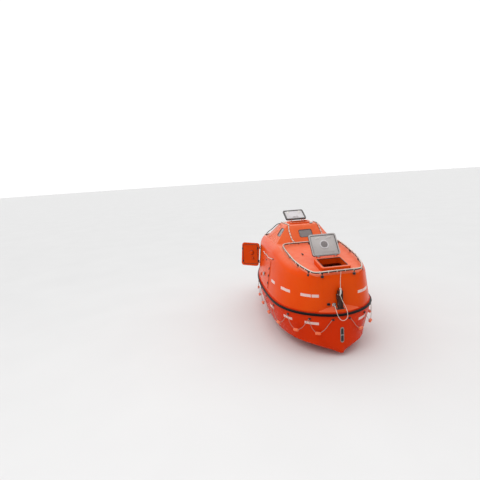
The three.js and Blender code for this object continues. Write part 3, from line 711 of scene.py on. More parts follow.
class EffectShelf:
    """Node groups that several finishes share, each made once."""

    def __init__(self) -> None:
        """Starts with an empty shelf."""
        self._reliefs: dict[Relief, bpy.types.NodeTree] = {}

    @staticmethod
    def _open(name: str, takes: dict[str, Kind], gives: dict[str, Kind]) -> tuple[Graph, dict, dict]:
        """Starts a group and gives its graph, its inputs and the sockets of its results.

        Args:
            name: The group's name.
            takes: Its inputs and their types.
            gives: Its outputs and their types.

        Returns:
            The graph, what the group is given, and where its results go.
        """
        tree = bpy.data.node_groups.new(name, "ShaderNodeTree")
        for key, kind in takes.items():
            tree.interface.new_socket(name=key, in_out="INPUT", socket_type=kind.value)
        for key, kind in gives.items():
            tree.interface.new_socket(name=key, in_out="OUTPUT", socket_type=kind.value)
        graph = Graph(tree)
        inside = graph.add("NodeGroupInput").outputs
        outside = graph.add("NodeGroupOutput").inputs
        return graph, {key: inside[key] for key in takes}, {key: outside[key] for key in gives}

    @cached_property
    def film(self) -> bpy.types.NodeTree:
        """The weathered film: broad fading and thin streaks of grime.

        Returns:
            The group.
        """
        graph, takes, gives = self._open(
            "weathered_film",
            {"Position": Kind.VECTOR, "Fresh": Kind.COLOUR, "Faded": Kind.COLOUR, "Grime": Kind.COLOUR,
             "Fading": Kind.NUMBER, "Soiling": Kind.NUMBER},
            {"Colour": Kind.COLOUR, "Dulling": Kind.NUMBER},
        )
        broad = graph.noise(takes["Position"], 1.7, 4.0)
        close = graph.noise(takes["Position"], 13.0, 5.0)
        streaks = graph.noise(takes["Position"], 1.0, 4.0, (26.0, 26.0, 1.9))
        fading = graph.math("MULTIPLY", graph.fit(broad, 0.36, 0.66), takes["Fading"])
        spread = graph.math("MULTIPLY", graph.fit(streaks, 0.5, 0.78), graph.fit(close, 0.35, 0.7))
        soiling = graph.math("MULTIPLY", spread, takes["Soiling"])
        colour = graph.mix(soiling, graph.mix(fading, takes["Fresh"], takes["Faded"]), takes["Grime"])
        graph.feed(gives["Colour"], colour)
        graph.feed(gives["Dulling"], graph.math("ADD", graph.math("MULTIPLY", close, 0.5), soiling))
        return graph.tree

    @cached_property
    def rub(self) -> bpy.types.NodeTree:
        """Edge wear: where edges are rubbed, and the direction of a softened edge.

        Returns:
            The group.
        """
        graph, takes, gives = self._open(
            "edge_rub",
            {"Position": Kind.VECTOR, "Radius": Kind.NUMBER, "Amount": Kind.NUMBER},
            {"Mask": Kind.NUMBER, "Normal": Kind.VECTOR},
        )
        rounded = graph.add("ShaderNodeBevel", samples=4)
        graph.feed(rounded.inputs["Radius"], takes["Radius"])
        flat = graph.add("ShaderNodeNewGeometry").outputs["Normal"]
        agreement = graph.vector("DOT_PRODUCT", rounded.outputs[0], flat).outputs["Value"]
        turned = graph.math("SUBTRACT", 1.0, agreement)
        broken = graph.fit(graph.noise(takes["Position"], 34.0, 4.0), 0.42, 0.62)
        worn = graph.math("MULTIPLY", graph.fit(turned, 0.03, 0.2), broken)
        graph.feed(gives["Mask"], graph.math("MULTIPLY", worn, takes["Amount"]))
        graph.feed(gives["Normal"], rounded.outputs[0])
        return graph.tree

    @cached_property
    def dust_and_sheen(self) -> bpy.types.NodeTree:
        """Dust that lies on faces that look up; with the canopy's and the wheelhouse's pale tints it is
        mostly a painted sheen.

        Returns:
            The group.
        """
        graph, takes, gives = self._open(
            "settled_dust_and_painted_sheen", {"Position": Kind.VECTOR, "Amount": Kind.NUMBER}, {"Mask": Kind.NUMBER}
        )
        parts = graph.add("ShaderNodeSeparateXYZ")
        graph.feed(parts.inputs[0], graph.add("ShaderNodeNewGeometry").outputs["Normal"])
        # Lightens faces that look up: real dust, and on the gelcoats a painted sheen of the sky on the deck.
        level = graph.fit(parts.outputs[2], 0.55, 0.97)
        patches = graph.fit(graph.noise(takes["Position"], 6.5, 6.0), -0.5, 0.95)
        lying = graph.math("MULTIPLY", level, patches)
        graph.feed(gives["Mask"], graph.math("MULTIPLY", lying, takes["Amount"]))
        return graph.tree

    def relief(self, relief: Relief) -> bpy.types.NodeTree:
        """Gives the height of a finish's fine relief.

        Args:
            relief: The sort of relief.

        Returns:
            Its group.
        """
        if relief in self._reliefs:
            return self._reliefs[relief]
        graph, takes, gives = self._open(
            f"relief_{relief.value}", {"Position": Kind.VECTOR, "Scale": Kind.NUMBER}, {"Height": Kind.NUMBER}
        )
        place, scale = takes["Position"], takes["Scale"]
        if relief is Relief.PEEL:
            ripple = graph.noise(place, 2.3, 2.0)
            height = graph.math("ADD", graph.math("MULTIPLY", graph.noise(place, scale, 2.0), 0.14), ripple)
        elif relief is Relief.BEADS:
            cells = graph.add("ShaderNodeTexVoronoi")
            graph.feed(cells.inputs["Vector"], place)
            graph.feed(cells.inputs["Scale"], scale)
            height = graph.fit(cells.outputs["Distance"], 0.1, 0.55, 1.0, 0.0)
        elif relief is Relief.CAST:
            height = graph.noise(place, scale, 8.0)
        elif relief is Relief.BRUSHED:
            height = graph.noise(place, scale, 3.0, (0.08, 1.0, 1.0))
        elif relief is Relief.FIBRE:
            height = graph.noise(place, scale, 4.0, (0.3, 1.0, 1.0))
        else:
            bands = []
            for direction in ("X", "Y"):
                wave = graph.add("ShaderNodeTexWave", bands_direction=direction)
                graph.feed(wave.inputs["Vector"], place)
                graph.feed(wave.inputs["Scale"], scale)
                bands.append(wave.outputs["Fac"])
            height = graph.math("MULTIPLY", bands[0], bands[1])
        graph.feed(gives["Height"], height)
        self._reliefs[relief] = graph.tree
        return graph.tree


@dataclass(frozen=True)
class Finish:
    """How one material of the boat looks."""

    name: str
    fresh: Triple
    faded: Triple
    grime: Triple = (0.06, 0.045, 0.035)
    rub: Triple = (0.5, 0.5, 0.5)
    dust_and_sheen: Triple = (0.62, 0.58, 0.54)
    fading: float = 0.5
    soiling: float = 0.25
    rubbing: float = 0.25
    dust_and_sheen_amount: float = 0.1
    edge: float = 0.004
    roughness: Pair = (0.3, 0.5)
    metallic: float = 0.0
    coat: float = 0.0
    sheen: float = 0.0
    gloss: float = 0.5
    clear: float = 0.0
    rounded: bool = True
    relief: Relief = Relief.PEEL
    scale: float = 90.0
    depth: float = 0.15

    def make(self, shelf: EffectShelf) -> bpy.types.Material:
        """Makes the material.

        Args:
            shelf: The shared node groups.

        Returns:
            The material, with all its detail from nodes.
        """
        material = bpy.data.materials.new(self.name)
        material.use_nodes = True
        graph = Graph(material.node_tree)
        body = graph.tree.nodes["Principled BSDF"]
        place = graph.add("ShaderNodeTexCoord").outputs["Object"]
        film = graph.group(shelf.film, Position=place, Fresh=(*self.fresh, 1.0), Faded=(*self.faded, 1.0),
                           Grime=(*self.grime, 1.0), Fading=self.fading, Soiling=self.soiling)
        worn = graph.group(shelf.rub, Position=place, Radius=self.edge, Amount=self.rubbing)
        dust_and_sheen_layer = graph.group(shelf.dust_and_sheen, Position=place, Amount=self.dust_and_sheen_amount)
        relief = graph.group(shelf.relief(self.relief), Position=place, Scale=self.scale)
        colour = graph.mix(worn.outputs["Mask"], film.outputs["Colour"], self.rub)
        # Faces that look up mix toward the dust tint: settled dust, and painted sheen on the gelcoats.
        graph.feed(body.inputs["Base Color"], graph.mix(dust_and_sheen_layer.outputs["Mask"], colour, self.dust_and_sheen))
        low, high = self.roughness
        dull = graph.math("MAXIMUM", graph.fit(film.outputs["Dulling"], 0.1, 0.7, low, high),
                          graph.math("MULTIPLY", dust_and_sheen_layer.outputs["Mask"], 0.8))
        graph.feed(body.inputs["Roughness"], dull)
        bump = graph.add("ShaderNodeBump")
        bump.inputs["Strength"].default_value = self.depth
        bump.inputs["Distance"].default_value = 0.004
        graph.feed(bump.inputs["Height"], relief.outputs["Height"])
        if self.rounded:
            graph.feed(bump.inputs["Normal"], worn.outputs["Normal"])
        graph.feed(body.inputs["Normal"], bump.outputs["Normal"])
        for socket, value in (
            ("Metallic", self.metallic), ("Specular IOR Level", self.gloss), ("Coat Weight", self.coat),
            ("Coat Roughness", 0.12), ("Sheen Weight", self.sheen), ("Transmission Weight", self.clear),
        ):
            body.inputs[socket].default_value = value
        return material


# The pale salmon dust tint on faces that look up is mostly a painted sheen of the sky on the deck.
CANOPY = Finish(
    "canopy_gelcoat", tint(228, 72, 4), tint(232, 84, 10), grime=tint(160, 46, 14),
    rub=tint(236, 116, 66), dust_and_sheen=tint(250, 190, 160), fading=0.4, soiling=0.08, rubbing=0.06, dust_and_sheen_amount=0.3,
    roughness=(0.22, 0.34), coat=0.03, gloss=0.06, rounded=False, depth=0.006,
)
# A paler copy of the canopy's gelcoat: its lighter tints are a painted reflection of the sky, and its dust
# tint on faces that look up a painted sheen.
WHEELHOUSE_PAINTED_SHEEN = Finish(
    "wheelhouse_gelcoat_painted_sheen", tint(230, 92, 36), tint(234, 104, 50), grime=tint(166, 62, 32),
    rub=tint(240, 136, 92), dust_and_sheen=tint(250, 200, 176), fading=0.6, soiling=0.1, rubbing=0.06, dust_and_sheen_amount=0.2,
    roughness=(0.24, 0.38), coat=0.05, gloss=0.12, rounded=False, depth=0.006,
)
HULL = Finish(
    "hull_gelcoat", tint(212, 50, 8), tint(218, 58, 14), grime=tint(126, 30, 12), rub=tint(222, 100, 60),
    fading=0.4, soiling=0.16, rubbing=0.06, dust_and_sheen_amount=0.02, roughness=(0.24, 0.38), gloss=0.04,
    rounded=False, depth=0.004,
)
RUBBER = Finish(
    "fender_rubber", tint(12, 12, 13), tint(20, 19, 20), grime=tint(40, 35, 31), rub=tint(56, 52, 50),
    dust_and_sheen_amount=0.03, roughness=(0.36, 0.54), gloss=0.1, rounded=False, relief=Relief.CAST,
    scale=140.0, depth=0.15,
)
BLACK_METAL = Finish(
    "black_coated_steel", tint(30, 29, 30), tint(52, 48, 46), grime=tint(92, 58, 38),
    rub=tint(126, 118, 112), rubbing=0.6, dust_and_sheen_amount=0.15, edge=0.002, roughness=(0.34, 0.55), metallic=0.3,
    relief=Relief.CAST, scale=220.0, depth=0.12,
)
HOOK_STEEL = Finish(
    "hook_post_steel", tint(66, 40, 31), tint(86, 54, 42), grime=tint(52, 34, 28),
    rub=tint(150, 128, 112), rubbing=0.7, edge=0.003, roughness=(0.36, 0.6), metallic=0.45,
    relief=Relief.CAST, scale=160.0, depth=0.2,
)
STAINLESS = Finish(
    "stainless_steel", tint(206, 204, 202), tint(184, 182, 180), grime=tint(130, 108, 92),
    rub=tint(232, 232, 230), soiling=0.4, rubbing=0.4, dust_and_sheen_amount=0.05, edge=0.0015, roughness=(0.2, 0.36),
    metallic=1.0, relief=Relief.BRUSHED, scale=320.0, depth=0.06,
)
WORN_STEEL = Finish(
    "worn_plate_steel", tint(150, 138, 130), tint(128, 112, 104), grime=tint(92, 60, 44),
    rub=tint(206, 200, 194), soiling=0.6, rubbing=0.5, dust_and_sheen_amount=0.05, edge=0.0015, roughness=(0.3, 0.5),
    metallic=0.8, relief=Relief.BRUSHED, scale=320.0, depth=0.06,
)
BRONZE = Finish(
    "propeller_bronze", tint(176, 128, 66), tint(140, 110, 70), grime=tint(70, 84, 62),
    rub=tint(222, 180, 110), soiling=0.6, rubbing=0.6, edge=0.002, roughness=(0.28, 0.5), metallic=1.0,
    relief=Relief.CAST, scale=120.0, depth=0.12,
)
ROPE = Finish(
    "laid_rope", tint(226, 214, 202), tint(206, 184, 168), grime=tint(140, 116, 98),
    rub=tint(240, 236, 228), fading=0.8, soiling=0.5, dust_and_sheen_amount=0.0, edge=0.001, roughness=(0.75, 0.95),
    sheen=0.3, relief=Relief.FIBRE, scale=520.0, depth=0.5,
)
OLD_ROPE = Finish(
    "weathered_rope", tint(176, 150, 136), tint(150, 126, 114), grime=tint(92, 74, 64),
    rub=tint(200, 184, 172), fading=0.8, soiling=0.6, dust_and_sheen_amount=0.0, edge=0.001, roughness=(0.75, 0.95),
    sheen=0.2, relief=Relief.FIBRE, scale=520.0, depth=0.5,
)
FLOAT = Finish(
    "float_foam", tint(238, 104, 54), tint(240, 132, 88), grime=tint(170, 78, 46),
    rub=tint(244, 160, 122), fading=0.7, dust_and_sheen_amount=0.1, roughness=(0.5, 0.7), relief=Relief.CAST,
    scale=260.0, depth=0.3,
)
TAPE = Finish(
    "reflective_tape", tint(232, 196, 188), tint(222, 180, 170), grime=tint(180, 130, 120),
    rub=tint(206, 120, 96), fading=0.4, soiling=0.3, rubbing=0.2, dust_and_sheen_amount=0.0, edge=0.0006,
    roughness=(0.3, 0.45), coat=0.5, relief=Relief.BEADS, scale=420.0, depth=0.08,
)
LINER = Finish(
    "inner_liner", tint(186, 180, 178), tint(168, 162, 160), grime=tint(112, 98, 92),
    rub=tint(212, 208, 204), roughness=(0.4, 0.6), coat=0.1, depth=0.2,
)
PALE_LID = Finish(
    "roof_lid_liner", tint(212, 208, 210), tint(198, 192, 194), grime=tint(140, 122, 116),
    rub=tint(226, 224, 222), roughness=(0.4, 0.58), coat=0.1, depth=0.2,
)
SEAL = Finish(
    "door_seal", tint(34, 32, 32), tint(54, 50, 48), grime=tint(84, 72, 64), rub=tint(80, 78, 76),
    dust_and_sheen_amount=0.2, edge=0.001, roughness=(0.5, 0.7), relief=Relief.CAST, scale=300.0, depth=0.15,
)
BLACK_PLASTIC = Finish(
    "black_moulded_plastic", tint(28, 28, 30), tint(46, 45, 46), rub=tint(90, 90, 90), edge=0.0015,
    roughness=(0.35, 0.55), relief=Relief.CAST, scale=380.0, depth=0.15,
)
WHITE_PLASTIC = Finish(
    "white_moulded_plastic", tint(240, 238, 234), tint(228, 222, 212), grime=tint(170, 154, 138),
    rub=tint(248, 248, 246), roughness=(0.28, 0.45), coat=0.3, depth=0.1,
)
GLASS = Finish(
    "window_pane", tint(168, 160, 160), tint(150, 142, 142), grime=tint(120, 108, 102),
    rub=tint(190, 186, 184), soiling=0.4, rubbing=0.1, dust_and_sheen_amount=0.25, edge=0.001, roughness=(0.08, 0.22),
    clear=0.5, depth=0.02,
)
CUSHION = Finish(
    "seat_cover_cloth", tint(58, 62, 70), tint(80, 84, 92), grime=tint(44, 42, 42),
    rub=tint(110, 112, 118), roughness=(0.7, 0.9), sheen=0.25, edge=0.002, relief=Relief.WEAVE,
    scale=150.0, depth=0.35,
)
ENGINE = Finish(
    "engine_casing_paint", tint(92, 108, 102), tint(112, 124, 118), grime=tint(52, 50, 44),
    rub=tint(160, 160, 156), soiling=0.5, roughness=(0.4, 0.6), relief=Relief.CAST, scale=60.0,
    depth=0.15,
)
CONSOLE = Finish(
    "console_plastic", tint(44, 46, 50), tint(62, 63, 66), rub=tint(104, 104, 106), edge=0.003,
    roughness=(0.45, 0.65), relief=Relief.CAST, scale=240.0, depth=0.25,
)
# A dark plate laid where a slot or recess would be: painted shade, not a hole.
PAINTED_SHADE_RECESS = Finish(
    "painted_shade_recess", tint(30, 24, 22), tint(40, 32, 28), rub=tint(60, 50, 46), edge=0.001,
    roughness=(0.6, 0.8), relief=Relief.CAST, scale=100.0, depth=0.1,
)
DIAL = Finish(
    "dial_face", tint(232, 232, 226), tint(214, 214, 206), rub=tint(240, 240, 236), edge=0.0006,
    roughness=(0.25, 0.4), coat=0.6, depth=0.03,
)
ZINC = Finish(
    "zinc_anode", tint(150, 152, 152), tint(128, 130, 130), grime=tint(206, 204, 196),
    rub=tint(180, 182, 182), soiling=0.7, roughness=(0.55, 0.8), metallic=0.7, relief=Relief.CAST,
    depth=0.5,
)


class Workshop:
    """Holds the loaded model and puts dressed pieces on it."""

    def __init__(self, frame: dict) -> None:
        """Keeps the model and starts the shared materials.
        """
        self.nodes: dict[str, bpy.types.Object] = frame["nodes"]
        self._shelf = EffectShelf()
        self._made: dict[str, bpy.types.Material] = {}
        self._surfaces: dict[tuple[str, ...], Surface] = {}

    def material(self, finish: Finish) -> bpy.types.Material:
        """Gives a finish's material, made once.

        Args:
            finish: The finish.

        Returns:
            Its material.
        """
        if finish.name not in self._made:
            self._made[finish.name] = finish.make(self._shelf)
        return self._made[finish.name]

    def surface(self, *names: str) -> Surface:
        """Gives the surface of some solids, made once.

        Args:
            names: The solids.

        Returns:
            Their surface.
        """
        if names not in self._surfaces:
            self._surfaces[names] = Surface([self.nodes[name] for name in names])
        return self._surfaces[names]

    def place(self, draft: Draft, name: str, finish: Finish, body: str = "boat", slot: str = "canopy_grp",
              sharp: float = 38.0) -> bpy.types.Object:
        """Makes a piece from a draft and lets it ride on a body.

        Args:
            draft: The piece's points and faces.
            name: The piece's name.
            finish: Its finish.
            body: The body that it moves with.
            slot: Not used.
            sharp: The angle past which its edges stay sharp.

        Returns:
            The new object.
        """
        piece = bpy.data.objects.new(name, draft.mesh(name, sharp))
        link(piece)
        piece.data.materials.append(self.material(finish))
        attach(piece, body)
        LOG.info("%s: %d faces on %s", name, len(piece.data.polygons), body)
        return piece


def link(thing: bpy.types.Object) -> None:
    """Puts an object in the scene."""
    bpy.context.scene.collection.objects.link(thing)


@dataclass
class Viewpoint:
    """The photograph's camera."""

    place: Triple = (10.2339, -3.2357, 3.7476)
    yaw: float = 0.1404
    pitch: float = -0.1711
    roll: float = -0.0655
    focal: float = 358.49
    frame_width: float = 480.0
    sensor: float = 36.0

    def build(self) -> None:
        """Makes the camera and takes it for the scene."""
        data = bpy.data.cameras.new("viewpoint")
        data.sensor_width = self.sensor
        data.lens = self.focal / self.frame_width * self.sensor
        camera = bpy.data.objects.new("viewpoint", data)
        level = math.cos(self.pitch)
        ahead = Vector((-math.cos(self.yaw) * level, math.sin(self.yaw) * level, math.sin(self.pitch)))
        right = ahead.cross(UPWARD).normalized()
        over = right.cross(ahead)
        turned = right * math.cos(self.roll) + over * math.sin(self.roll)
        top = over * math.cos(self.roll) - right * math.sin(self.roll)
        columns = Matrix((turned, top, -ahead)).transposed().to_4x4()
        camera.matrix_world = Matrix.Translation(Vector(self.place)) @ columns
        link(camera)
        bpy.context.scene.camera = camera


@dataclass
class Studio:
    """Pale floor and soft light."""

    floor_z: float = -0.462
    floor_radius: float = 400.0
    sky: float = 1.08
    sky_ahead: float = 0.42
    sky_overhead: float = 0.42
    key_power: float = 160.0
    key_place: Triple = (7.0, -4.5, 9.0)
    key_size: float = 6.0

    def build(self) -> None:
        """Makes the floor, the sky and the lamp."""
        draft = Draft()
        level = Plane.facing((0, 0, self.floor_z), (0, 0, 1))
        draft.lathe(level, [(self.floor_radius, -0.05), (self.floor_radius, 0)], 64)
        floor = bpy.data.objects.new("studio_floor", draft.mesh("studio_floor"))
        link(floor)
        paper = bpy.data.materials.new("studio_floor")
        paper.use_nodes = True
        graph = Graph(paper.node_tree)
        tone = graph.noise(graph.add("ShaderNodeTexCoord").outputs["Object"], 0.6, 2.0)
        body = paper.node_tree.nodes["Principled BSDF"]
        graph.feed(body.inputs["Base Color"], graph.mix(tone, (0.7, 0.7, 0.7), (0.74, 0.74, 0.74)))
        body.inputs["Roughness"].default_value = 0.95
        floor.data.materials.append(paper)
        world = bpy.data.worlds.new("soft_sky")
        world.use_nodes = True
        sky = Graph(world.node_tree)
        parts = sky.add("ShaderNodeSeparateXYZ")
        sky.feed(parts.inputs[0], sky.add("ShaderNodeTexCoord").outputs["Generated"])
        round_about = sky.fit(parts.outputs[0], -0.25, 0.85, self.sky, self.sky_ahead)
        overhead = sky.fit(parts.outputs[2], 0.3, 0.95, 0.0, self.sky_overhead)
        backdrop = world.node_tree.nodes["Background"]
        backdrop.inputs["Color"].default_value = (1.0, 1.0, 1.0, 1.0)
        sky.feed(backdrop.inputs["Strength"], sky.math("ADD", round_about, overhead))
        bpy.context.scene.world = world
        lamp = bpy.data.lights.new("soft_key", "AREA")
        lamp.energy = self.key_power
        lamp.size = self.key_size
        key = bpy.data.objects.new("soft_key", lamp)
        key.location = self.key_place
        aim = Vector((0.5, 0, 1.0)) - Vector(self.key_place)
        key.rotation_euler = aim.to_track_quat("-Z", "Y").to_euler()
        link(key)
        bpy.context.scene.view_settings.view_transform = "Standard"


@dataclass
class Painter:
    """The free rope at the bow, from the fore rail past the hook to its release."""

    shop: Workshop
    radius: float = 0.006
    route: tuple[Triple, ...] = (
        (2.8193, 0.054, 1.54), (2.83, 0.036, 1.4), (2.852, 0.02, 1.3), (2.9, 0.0, 1.21),
        (2.935, -0.02, 1.14), (2.945, -0.03, 1.08), (2.95, -0.02, 1.0), (2.958, 0.0, 0.93),
        (2.967, 0.03, 0.86), (2.99, 0.075, 0.75), (3.015, 0.1, 0.66), (3.026, 0.105, 0.6),
        (3.032, 0.098, 0.52), (3.034, 0.05, 0.47), (3.034, -0.01, 0.455), (3.032, -0.07, 0.49),
        (3.026, -0.115, 0.56), (3.012, -0.14, 0.64), (2.988, -0.15, 0.705), (2.945, -0.142, 0.74),
        (2.89, -0.12, 0.746), (2.8636, -0.118, 0.745),
    )

    def build(self) -> None:
        path = smooth_line(self.route, self.radius * 0.8)
        draft = Draft()
        draft.laid(path, self.radius)
        rope = self.shop.place(draft, "painter", ROPE, slot="rope", sharp=80.0)
        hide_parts("painter_rope")


@dataclass
class Coatings:
    """Finishes of the solids that stay, with smooth shading over their coarse faces."""

    shop: Workshop
    lamp_base_z: float = 2.353
    weld: float = 0.00005
    sharp: float = 30.0
    finishes: tuple[tuple[Finish, tuple[str, ...]], ...] = (
        (HULL, ("hull",)),
        (RUBBER, ("fender",)),
        (CANOPY, ("canopy_fore", "canopy_mid", "canopy_aft", "door_mid_starboard", "door_mid_port",
                  "door_aft_starboard", "door_aft_port", "fore_hatch_lid", "roof_hatch_lid")),
        (WHEELHOUSE_PAINTED_SHEEN, ("wheelhouse",)),
        (GLASS, ("window_front", "window_aft", "window_starboard", "window_port")),
        (LINER, ("cabin_sole", "bench_starboard", "bench_port")),
        (ENGINE, ("engine_block",)),
        (CONSOLE, ("helm_console",)),
        (BLACK_METAL, ("fore_deck_rail", "aft_deck_rail", "roof_rail_starboard", "roof_rail_port", "fairlead",
                       "vent_block", "deck_cleat_starboard", "deck_cleat_port", "steering_nozzle")),
        (HOOK_STEEL, ("bow_hook_post", "stern_hook_post")),
        (STAINLESS, ("bow_hook", "stern_hook", "painter_release")),
        (WORN_STEEL, ("stem_plate",)),
        (WHITE_PLASTIC, ("roof_lamp",)),
        (BRONZE, ("propeller",)),
    )
    softened: tuple[tuple[str, float], ...] = (
        ("engine_block", 0.02), ("helm_console", 0.006), ("vent_block", 0.004), ("bow_hook_post", 0.002),
        ("stern_hook_post", 0.002), ("bow_hook", 0.002), ("stern_hook", 0.002), ("stem_plate", 0.002),
        ("painter_release", 0.0015), ("fairlead", 0.002), ("roof_lamp", 0.002),
    )

    def build(self) -> None:
        """Gives every solid its finish and its shading."""
        softened = dict(self.softened)
        for finish, names in self.finishes:
            for name in names:
                node = self.shop.nodes[name]
                node.data.materials.clear()
                node.data.materials.append(self.shop.material(finish))
                node.data.shade_smooth()
                welded = node.modifiers.new("weld", "WELD")
                welded.merge_threshold = self.weld
                if name in softened:
                    bevel = node.modifiers.new("soften", "BEVEL")
                    bevel.width = softened[name]
                    bevel.segments = 2
                    bevel.limit_method = "ANGLE"
                    bevel.angle_limit = math.radians(35)
                split = node.modifiers.new("split", "EDGE_SPLIT")
                split.split_angle = math.radians(self.sharp)
        self._two_tone("roof_lamp", BLACK_PLASTIC, self.lamp_base_z)
        self._lid_tones("fore_hatch_lid", FORE_LID_LOOK, LINER)
        self._lid_tones("roof_hatch_lid", ROOF_LID_LOOK, SEAL)

    def _two_tone(self, name: str, finish: Finish, height: float) -> None:
        """Gives the faces below a height another finish.

        Args:
            name: The solid.
            finish: The lower faces' finish.
            height: The height.
        """
        node = self.shop.nodes[name]
        node.data.materials.append(self.shop.material(finish))
        for polygon in node.data.polygons:
            if polygon.center.z < height:
                polygon.material_index = 1

    def _lid_tones(self, name: str, hint: Triple, inner: Finish) -> None:
        """Gives a lid's inner face its own finish, and its edge a black that is partly the gasket and partly
        painted shade.

        Args:
            name: The lid.
            hint: About where its inner face looks.
            inner: The inner face's finish.
        """
        node = self.shop.nodes[name]
        out = leaf_plane(node, hint).out
        node.data.materials.append(self.shop.material(inner))
        node.data.materials.append(self.shop.material(SEAL))
        for polygon in node.data.polygons:
            look = polygon.normal.dot(out)
            if look > 0.6:
                polygon.material_index = 1
            # Edge faces take the seal's black: the gasket's own colour and, in part, painted shade along the
            # lid's rim.
            elif look > -0.6:
                polygon.material_index = 2


@dataclass
class ReflectiveTapes:
    """Patches of pale tape round the canopy and the hull."""

    shop: Workshop
    half_width: float = 0.034
    proud: float = 0.0012
    canopy_z: float = 1.0
    hull_z: float = 0.335
    centre_x: float = 1.0
    canopy_spans: Outline = ((68.6, 82.7), (38.4, 52.0), (14.7, 28.2))
    hull_spans: Outline = ((68.0, 81.8), (36.7, 47.0), (15.2, 25.6))
    aft_x: float = -1.2
    aft_spans: Outline = ((98.0, 112.0), (128.0, 141.0), (157.0, 168.0))

    def build(self) -> None:
        """Lays each patch on its surface."""
        canopy = self.shop.surface("canopy_fore", "canopy_mid", "canopy_aft")
        hull = self.shop.surface("hull")
        for name, surface, z, spans in (
            ("canopy_tape", canopy, self.canopy_z, self.canopy_spans),
            ("hull_tape", hull, self.hull_z, self.hull_spans),
        ):
            for side_name, side in SIDES:
                draft = Draft()
                for span in spans:
                    self._patch(draft, surface, (self.centre_x, side), z, span)
                for span in self.aft_spans:
                    self._patch(draft, surface, (self.aft_x, side), z, span)
                self.shop.place(draft, f"{name}_{side_name}", TAPE, sharp=60.0)

    def _patch(self, draft: Draft, surface: Surface, about: tuple[float, int], z: float,
               span: Pair) -> None:
        """Lays one patch between two bearings about a point of the centreline.

        Args:
            draft: The draft that takes it.
            surface: What it lies on.
            about: The point's place along the boat, and the side.
            z: The patch's height.
            span: Its two bearings from ahead, in degrees.
        """
        columns, rows = 14, 3
        centre, side = about
        rings = []
        for i in range(columns + 1):
            turn = math.radians(blend(*span, i / columns)) * side
            out = Vector((math.cos(turn), math.sin(turn), 0))
            column = []
            for j in range(rows + 1):
                height = z + self.half_width * (j / rows * 2 - 1)
                hit = surface.cast(Vector((centre, 0, height)) + out * 4, -out)
                if hit is None:
                    return
                column.append(hit)
            outer = [point + normal * self.proud for point, normal in column]
            inner = [point - normal * 0.001 for point, normal in reversed(column)]
            rings.append(outer + inner)
        draft.skin(rings)


@dataclass
class Lifelines:
    """Ropes looped along both sides, with pads under the fender and a float in each loop."""

    shop: Workshop
    height: float = 0.45
    sag: float = 0.33
    radius: float = 0.0055
    off: float = 0.022
    float_length: float = 0.13
    float_radius: float = 0.036
    float_profile: Outline = (
        (0.4, -1.0), (0.72, -0.96), (0.93, -0.82), (1.0, -0.55), (1.0, -0.06), (0.95, 0.0), (1.0, 0.06),
        (1.0, 0.55), (0.93, 0.82), (0.72, 0.96), (0.4, 1.0),
    )
    knot_shares: tuple[float, ...] = (0, 0.12, 0.25, 0.5, 0.75, 0.88, 1)
    places: tuple[float, ...] = (2.925, 2.7, 2.25, 1.56, 0.78, 0.0, -0.76, -1.48, -2.14, -2.72)

    def _spot(self, x: float, side: int, drop: float, out: float) -> Vector:
        """Gives a point beside the hull, below the line of the pads."""
        return Vector((x, side * (GUNWALE.breadth(x) + out), self.height - drop))

    def build(self) -> None:
        """Makes the ropes, the floats and the pads of both sides."""
        for side_name, side in SIDES:
            rope, floats, pads = Draft(), Draft(), Draft()
            for x in self.places:
                self._pad(pads, x, side)
            for first, second in zip(self.places, self.places[1:]):
                knots = []
                for share in self.knot_shares:
                    x = blend(first, second, share)
                    drop = self.sag * (1 - (2 * share - 1) ** 2)
                    knots.append(self._spot(x, side, drop, self.off + (0.006 if 0 < share < 1 else 0)))
                rope.laid(smooth_line(knots, self.radius * 0.9), self.radius, sides=9)
                self._float(floats, knots[3], knots[4] - knots[2])
            piece = self.shop.place(rope, f"lifeline_rope_{side_name}", OLD_ROPE, slot="rope", sharp=80.0)
            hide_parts(f"lifeline_{side_name}")
            self.shop.place(floats, f"lifeline_floats_{side_name}", FLOAT, slot="float_foam", sharp=50.0)
            self.shop.place(pads, f"lifeline_pads_{side_name}", BLACK_METAL, slot="black_metal")

    def _float(self, draft: Draft, middle: Vector, along: Vector) -> None:
        """Makes one float round the rope, with a groove round its middle.

        Args:
            draft: The draft that takes it.
            middle: Its middle.
            along: The direction of its axis.
        """
        plane = Plane.facing(middle, along)
        half, radius = self.float_length / 2, self.float_radius
        draft.lathe(plane, [(radius * share, half * out) for share, out in self.float_profile], 20)

    def _pad(self, draft: Draft, x: float, side: int) -> None:
        """Makes one pad with its eye.

        Args:
            draft: The draft that takes it.
            x: Its place along the boat.
            side: -1 to starboard and 1 to port.
        """
        foot = self._spot(x, side, 0, 0)
        ahead = self._spot(x + 0.02, side, 0, 0) - self._spot(x - 0.02, side, 0, 0)
        out = ahead.cross(Vector((0, 0, side))).normalized()
        out = -out if out.y * side < 0 else out
        plane = Plane.facing(foot, out)
        draft.slab(plane, (0.03, 0.022), (-0.006, 0.005), 0.01)
        draft.tube(plane.arch(0.017, 0.015, -0.002, 0.008), 0.004, 8)
        for spot in (-0.02, 0.02):
            draft.bolt(Plane.facing(plane.at(spot, 0, 0.005), out), 0.004, 0.004)


